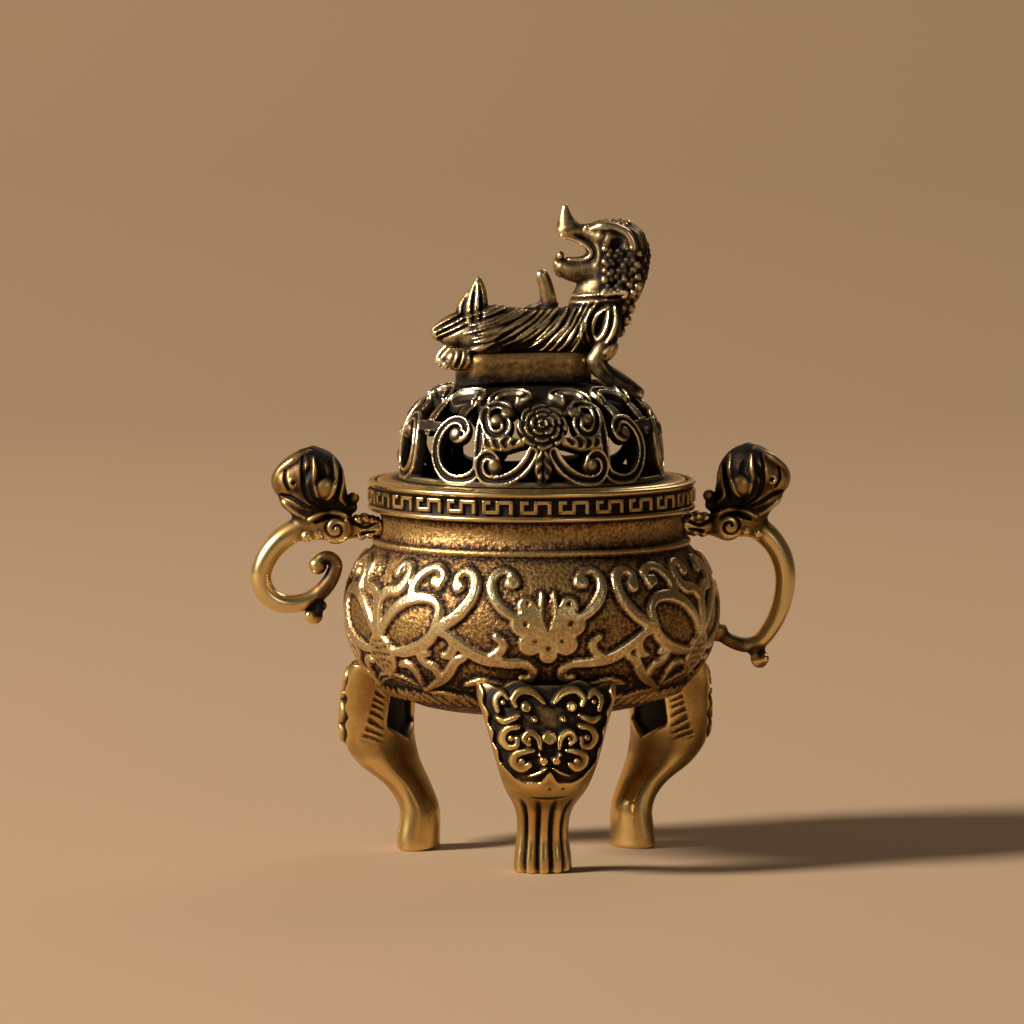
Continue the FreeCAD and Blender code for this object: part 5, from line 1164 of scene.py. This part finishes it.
for side in (-1, 1):
    lion_rod([(2.9, side * 0.9, 11.3, 0.18), (4.4, side * 1.15, 10.9, 0.24), (5.35, side * 1.5, 10.3, 0.24),
              (5.75, side * 1.65, 9.6, 0.25), (5.1, side * 1.45, 9.05, 0.22), (3.6, side * 1.1, 9.0, 0.18)],
             0.1)
    lion_rod([(5.9, side * 1.3, 12.0, 0.35), (6.8, side * 1.75, 12.25, 0.5), (8.0, side * 2.0, 12.2, 0.42),
              (9.2, side * 2.25, 11.6, 0.42), (9.75, side * 2.35, 10.5, 0.44), (9.75, side * 2.45, 9.4, 0.4),
              (9.1, side * 2.6, 8.75, 0.3), (8.6, side * 2.65, 9.2, 0.2)], 0.1)
    lion_ball((6.6, side * 1.85, 11.3), 0.5, 0.1)
    lion_ball((5.3, side * 1.05, 12.1), 0.3, 0.1)
    lion_ball((8.2, side * 2.85, 10.7), (0.85, 0.8, 1.0), 0.1, tilt=-20, carve=True)
    lion_rod([(9.5, side * 1.75, 11.9, 0.25), (10.3, side * 1.8, 11.0, 0.38), (10.3, side * 1.9, 9.7, 0.36),
              (9.8, side * 2.0, 8.7, 0.2)], 0.1)
    lion_rod([(5.9, side * 1.55, 10.9, 0.22), (6.5, side * 1.85, 10.1, 0.36), (6.45, side * 1.95, 8.8, 0.36),
              (5.6, side * 1.6, 7.3, 0.2)], 0.1)
    lion_rod([(9.7, side * 2.0, 7.8, 0.2), (9.5, side * 2.2, 6.9, 0.4), (8.6, side * 2.5, 6.2, 0.2)], 0.1)
    for k in range(45):
        bx, bz = 6.9 + 0.72 * (k % 5) + 0.36 * (k // 5 % 2), 10.0 - 0.5 * (k // 5)
        place = (bx + jitter.uniform(-0.2, 0.2), side * (2.35 + 0.02 * k), bz + jitter.uniform(-0.15, 0.15))
        lion_ball(place, jitter.uniform(0.32, 0.46), 0.05)
    lion_ball((-4.4, side * 2.0, 1.5), (2.6, 1.2, 1.9), 0.3, tilt=20)
    lion_ball((-7.3, side * 2.6, -0.6), (1.45, 1.1, 1.15), 0.2)
    for toe in (-0.55, 0.0, 0.55):
        lion_ball((-8.5, side * 2.5 + toe, -1.1), (0.55, 0.34, 0.45), 0.08)
    for groove in (-8.1, -7.4, -6.7):
        lion_rod([(groove + 0.35, side * 3.2, 0.35, 0.1), (groove + 0.1, side * 3.65, -0.4, 0.22),
                  (groove - 0.35, side * 3.4, -1.5, 0.2)], 0.06, carve=True)
    lion_rod([(-8.1, side * 2.2, 0.3, 0.4), (-8.8, side * 2.2, -0.4, 0.32), (-9.2, side * 2.1, -1.2, 0.16)],
             0.15)
    lion_rod([(7.6, side * 1.9, 4.6, 1.1), (7.4, side * 2.4, 2.4, 1.15), (6.8, side * 2.7, 0.5, 1.0),
              (6.1, side * 2.8, -0.7, 0.9)], 0.3)
    lion_rod([(6.0, side * 2.8, -0.8, 0.85), (7.0, side * 2.75, -2.0, 0.9), (8.6, side * 2.7, -3.0, 0.9),
              (10.1, side * 2.5, -4.0, 0.75)], 0.2)
    lion_rod([(6.4, side * 3.5, -0.6, 0.2), (7.3, side * 3.5, -1.9, 0.22), (8.9, side * 3.4, -2.9, 0.2)], 0.1)
    lion_rod([(6.9, side * 3.75, -1.0, 0.15), (7.9, side * 3.75, -2.05, 0.22), (9.6, side * 3.5, -3.1, 0.18)],
             0.08, carve=True)
    lion_ball((7.25, side * 3.2, 0.1), (1.25, 0.75, 0.7), 0.12, tilt=48)
    lion_ball((6.9, side * 3.95, -0.3), 0.24, 0.06, carve=True)
    for toe in (-0.5, 0.0, 0.5):
        lion_ball((10.35, side * 2.5 + toe, -4.1), 0.4, 0.1)
    for bx, bz in [(9.5, 4.3), (9.1, 3.1), (8.5, 2.0)]:
        lion_ball((bx, side * 1.5, bz), (0.6, 0.6, 0.62), 0.1)
mane = curve([(7.6, 12.5), (9.4, 12.35), (10.7, 11.2), (11.25, 9.8), (11.2, 8.2), (10.8, 6.8), (10.3, 5.6),
              (9.7, 4.7)], 3)
for row, (bx, bz) in enumerate(mane):
    for side in np.arange(-2.5, 3.0) if row % 2 else np.arange(-2.0, 2.5):
        inward = 0.16 * side * side
        place = (bx - inward, 0.8 * side + jitter.uniform(-0.1, 0.1), bz - 0.3 * inward)
        lion_ball(place, jitter.uniform(0.4, 0.52), 0.06)
lion_rod([(-5.6, 2.6, 1.35), (-5.5, 4.4, 1.25), (-5.3, 5.9, 0.85), (-5.2, 7.1, 0.3)], 0.25, 1.1)
lion_rod([(-6.4, 2.8, 0.95), (-6.6, 4.3, 0.75), (-6.2, 5.6, 0.35)], 0.12, 1.2)
lion_rod([(-6.0, 3.1, 1.0), (-7.6, 2.7, 1.05), (-9.1, 1.9, 0.85)], 0.2, 1.3)
lion_rod([(1.8, 0.9, 2.6, 0.95), (1.75, 0.9, 4.8, 0.82), (1.45, 0.9, 6.4, 0.72), (1.1, 0.9, 7.35, 0.66)], 0.3)
lion_rod([(-0.2, 0.9, 4.0, 0.3), (0.7, 0.9, 4.35, 0.4), (1.4, 0.9, 4.6, 0.4)], 0.2)
spans, (x, y, z) = lion.part((3.4, -3.6, PLINTH_TOP_Z + 4.2), (9.4, 3.6, PLINTH_TOP_Z + 7.2))
over_collar = z - PLINTH_TOP_Z - 5.1 - 0.1 * (x - 6.5)
ridges = np.exp(-(over_collar / 0.24) ** 2) + np.exp(-((over_collar - 0.62) / 0.2) ** 2)
lion.field[spans] -= (0.3 * ridges * ease(x, 3.4, 3.9) * ease(-x, -9.4, -8.6)).astype(np.float32)
locks = []
for k in range(40):
    bx = -3.4 + 0.23 * k
    bz = (4.6, 2.9, 3.8)[k % 3] + jitter.uniform(-0.25, 0.25)
    points = [(bx, bz, 0.1)]
    for step, half in ((0.8, 0.17), (0.8, 0.2), (0.8, 0.19), (0.8, 0.14), (0.6, 0.05)):
        steep = math.radians(np.interp(bx, [-5, 0, 5], [16, 34, 66]) + jitter.uniform(-4, 4))
        bx = bx - step * math.cos(steep)
        bz = max(bz - step * math.sin(steep), 0.1)
        points.append((bx, bz, half))
    locks.append(lion_line(points, 3))
for bx, bz in [(-2.9, 2.7), (-3.3, 1.9), (-3.9, 1.1)]:
    locks.append(lion_line([(bx, bz, 0.15), (bx - 1.3, bz - 0.55, 0.36), (bx - 2.6, bz - 0.8, 0.08)]))
combed(lion, locks, 0.34)
swirl = [lion_line(points) for points in (
    [(7.35, 4.5, 0.08), (6.2, 3.7, 0.2), (5.75, 2.4, 0.22), (6.05, 1.3, 0.2), (6.9, 2.3, 0.2),
     (7.3, 4.1, 0.08)],
    [(6.2, 4.95, 0.08), (5.35, 3.6, 0.2), (5.1, 2.0, 0.2), (5.6, 0.75, 0.1)],
    [(5.4, 4.8, 0.08), (4.75, 3.4, 0.18), (4.6, 1.9, 0.18), (4.9, 0.9, 0.08)],
    [(7.9, 4.6, 0.08), (8.0, 3.2, 0.2), (7.6, 1.9, 0.2), (7.0, 1.0, 0.08)],
)]
flutes = [lion_line(points) for points in (
    [(-5.9, 3.2, 0.06), (-5.85, 4.8, 0.16), (-5.5, 6.6, 0.06)],
    [(-5.15, 3.2, 0.06), (-5.05, 4.8, 0.16), (-5.1, 6.6, 0.06)],
    [(-6.7, 3.3, 0.05), (-6.75, 4.4, 0.12), (-6.4, 5.4, 0.05)],
    [(-6.9, 3.65, 0.1), (-8.1, 3.0, 0.12), (-9.5, 2.25, 0.12)],
    [(-6.7, 3.2, 0.1), (-7.9, 2.55, 0.12), (-9.3, 1.8, 0.12)],
    [(-6.5, 2.75, 0.1), (-7.7, 2.1, 0.12), (-9.1, 1.35, 0.12)],
    [(6.8, 4.0, 0.1), (6.5, 2.9, 0.26), (6.3, 2.0, 0.1)],
)]
side_relief(lion, swirl, flutes, height=0.26, depth=0.34)
x, y, z = lion.whole()
on_plinth = np.maximum(plinth_plan(x, y), z - PLINTH_TOP_Z)
lion.field[:] = np.maximum(lion.field, SEAM - on_plinth)
lion.field[:] = np.maximum(lion.field, SEAM - dome_gap(x, y, z))
lion_points, lion_quads, lion_wear_and_highlight = lion.cast(reach=0.32, gain=1.5, base=0.2)
px, py, pz = lion_points.T
over_plinth = pz - PLINTH_TOP_Z
# A painted highlight on the lion's throat.
throat_painted_highlight = ease(px, 4.0, 4.6) * ease(-px, -6.7, -6.1)
throat_painted_highlight = throat_painted_highlight * ease(over_plinth, 5.4, 5.8) * ease(-over_plinth, -7.4, -6.8)
foreleg = ease(px, 6.2, 6.8) * ease(-over_plinth, 0.9, 1.5)
mane_side = ease(px, 6.4, 7.0) * ease(over_plinth, 6.0, 6.5) * ease(-over_plinth, -10.4, -9.9)
lion_wear_and_highlight = lion_wear_and_highlight + 0.3 * throat_painted_highlight - 0.3 * foreleg - 0.3 * mane_side
lion_piece = new_piece("lion_cast", lion_points, lion_quads, lion_wear_and_highlight)
lion_piece.data.materials.append(old_brass(
    "lion brass", Speckle=0.8, Speckle_Scale=1700.0, Cloud=0.6, Ground=(0.09, 0.055, 0.024, 1),
    Brass=(0.38, 0.265, 0.115, 1), Rubbed=(0.86, 0.73, 0.47, 1)))
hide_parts("lion")
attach(lion_piece, "lid")

# Studio: a pale sand-coloured sweep as floor and backdrop, one large soft lamp from the upper left,
# a weaker one from the right and a soft one from behind, with the camera at the photograph's angle.
SWEEP_COLOUR = (0.35, 0.226, 0.128, 1)
sweep_line = [(-1.6, 0.0), (0.55, 0.0), (0.75, 0.03), (0.9, 0.12), (0.98, 0.28), (1.0, 0.5), (1.0, 1.6)]
sweep_points = [(side * 2.2, py, pz) for side in (-1, 1) for py, pz in sweep_line]
count = len(sweep_line)
sweep_faces = [(k, k + count, k + count + 1, k + 1) for k in range(count - 1)]
sweep_mesh = bpy.data.meshes.new("studio_sweep")
sweep_mesh.from_pydata(sweep_points, [], sweep_faces)
sweep_mesh.shade_smooth()
sweep = bpy.data.objects.new("studio_sweep", sweep_mesh)
bpy.context.scene.collection.objects.link(sweep)
paper = bpy.data.materials.new("studio paper")
paper.use_nodes = True
paper_surface = paper.node_tree.nodes["Principled BSDF"]
paper_surface.inputs["Base Color"].default_value = SWEEP_COLOUR
paper_surface.inputs["Roughness"].default_value = 0.9
sweep.data.materials.append(paper)


def soft_lamp(name, place, aim, size, power, colour):
    """A round area lamp that looks at a point."""
    lamp = bpy.data.lights.new(name, "AREA")
    lamp.shape = "DISK"
    lamp.size = size
    lamp.energy = power
    lamp.color = colour
    holder = bpy.data.objects.new(name, lamp)
    holder.location = place
    direction = np.array(aim) - np.array(place)
    holder.rotation_euler = mathutils.Vector(direction).to_track_quat("-Z", "Y").to_euler()
    bpy.context.scene.collection.objects.link(holder)


soft_lamp("key lamp", (-1.15, -0.32, 0.75), (0, 0, 0.03), 0.34, 42.0, (1.0, 0.95, 0.86))
soft_lamp("fill lamp", (0.35, -0.8, 0.35), (0, 0, 0.03), 0.4, 0.6, (1.0, 0.95, 0.88))
soft_lamp("back lamp", (0.3, 0.5, 0.5), (0, 0, 0.03), 0.3, 0.8, (1.0, 0.93, 0.84))
world = bpy.data.worlds.new("studio air")
bpy.context.scene.world = world
world.use_nodes = True
world.node_tree.nodes["Background"].inputs["Color"].default_value = (0.95, 0.78, 0.56, 1)
world.node_tree.nodes["Background"].inputs["Strength"].default_value = 0.06

CAMERA_TURN = math.radians(-5.0)
CAMERA_AWAY = 0.797
CAMERA_Z = 0.1052
AIM_Z = 0.0339
AIM_SIDE = -0.00191
camera = bpy.data.cameras.new("photograph camera")
camera.sensor_width = 36.0
camera.lens = 286.9
camera.clip_start = 0.01
viewer = bpy.data.objects.new("photograph camera", camera)
right_way = np.array([math.cos(CAMERA_TURN), math.sin(CAMERA_TURN), 0])
back_way = np.array([math.sin(CAMERA_TURN), -math.cos(CAMERA_TURN), 0])
aim = AXIS + right_way * AIM_SIDE + np.array([0, 0, AIM_Z])
stand = AXIS + right_way * AIM_SIDE + back_way * CAMERA_AWAY + np.array([0, 0, CAMERA_Z])
viewer.location = stand
viewer.rotation_euler = mathutils.Vector(aim - stand).to_track_quat("-Z", "Y").to_euler()
bpy.context.scene.collection.objects.link(viewer)
bpy.context.scene.camera = viewer
bpy.context.scene.view_settings.view_transform = "Standard"
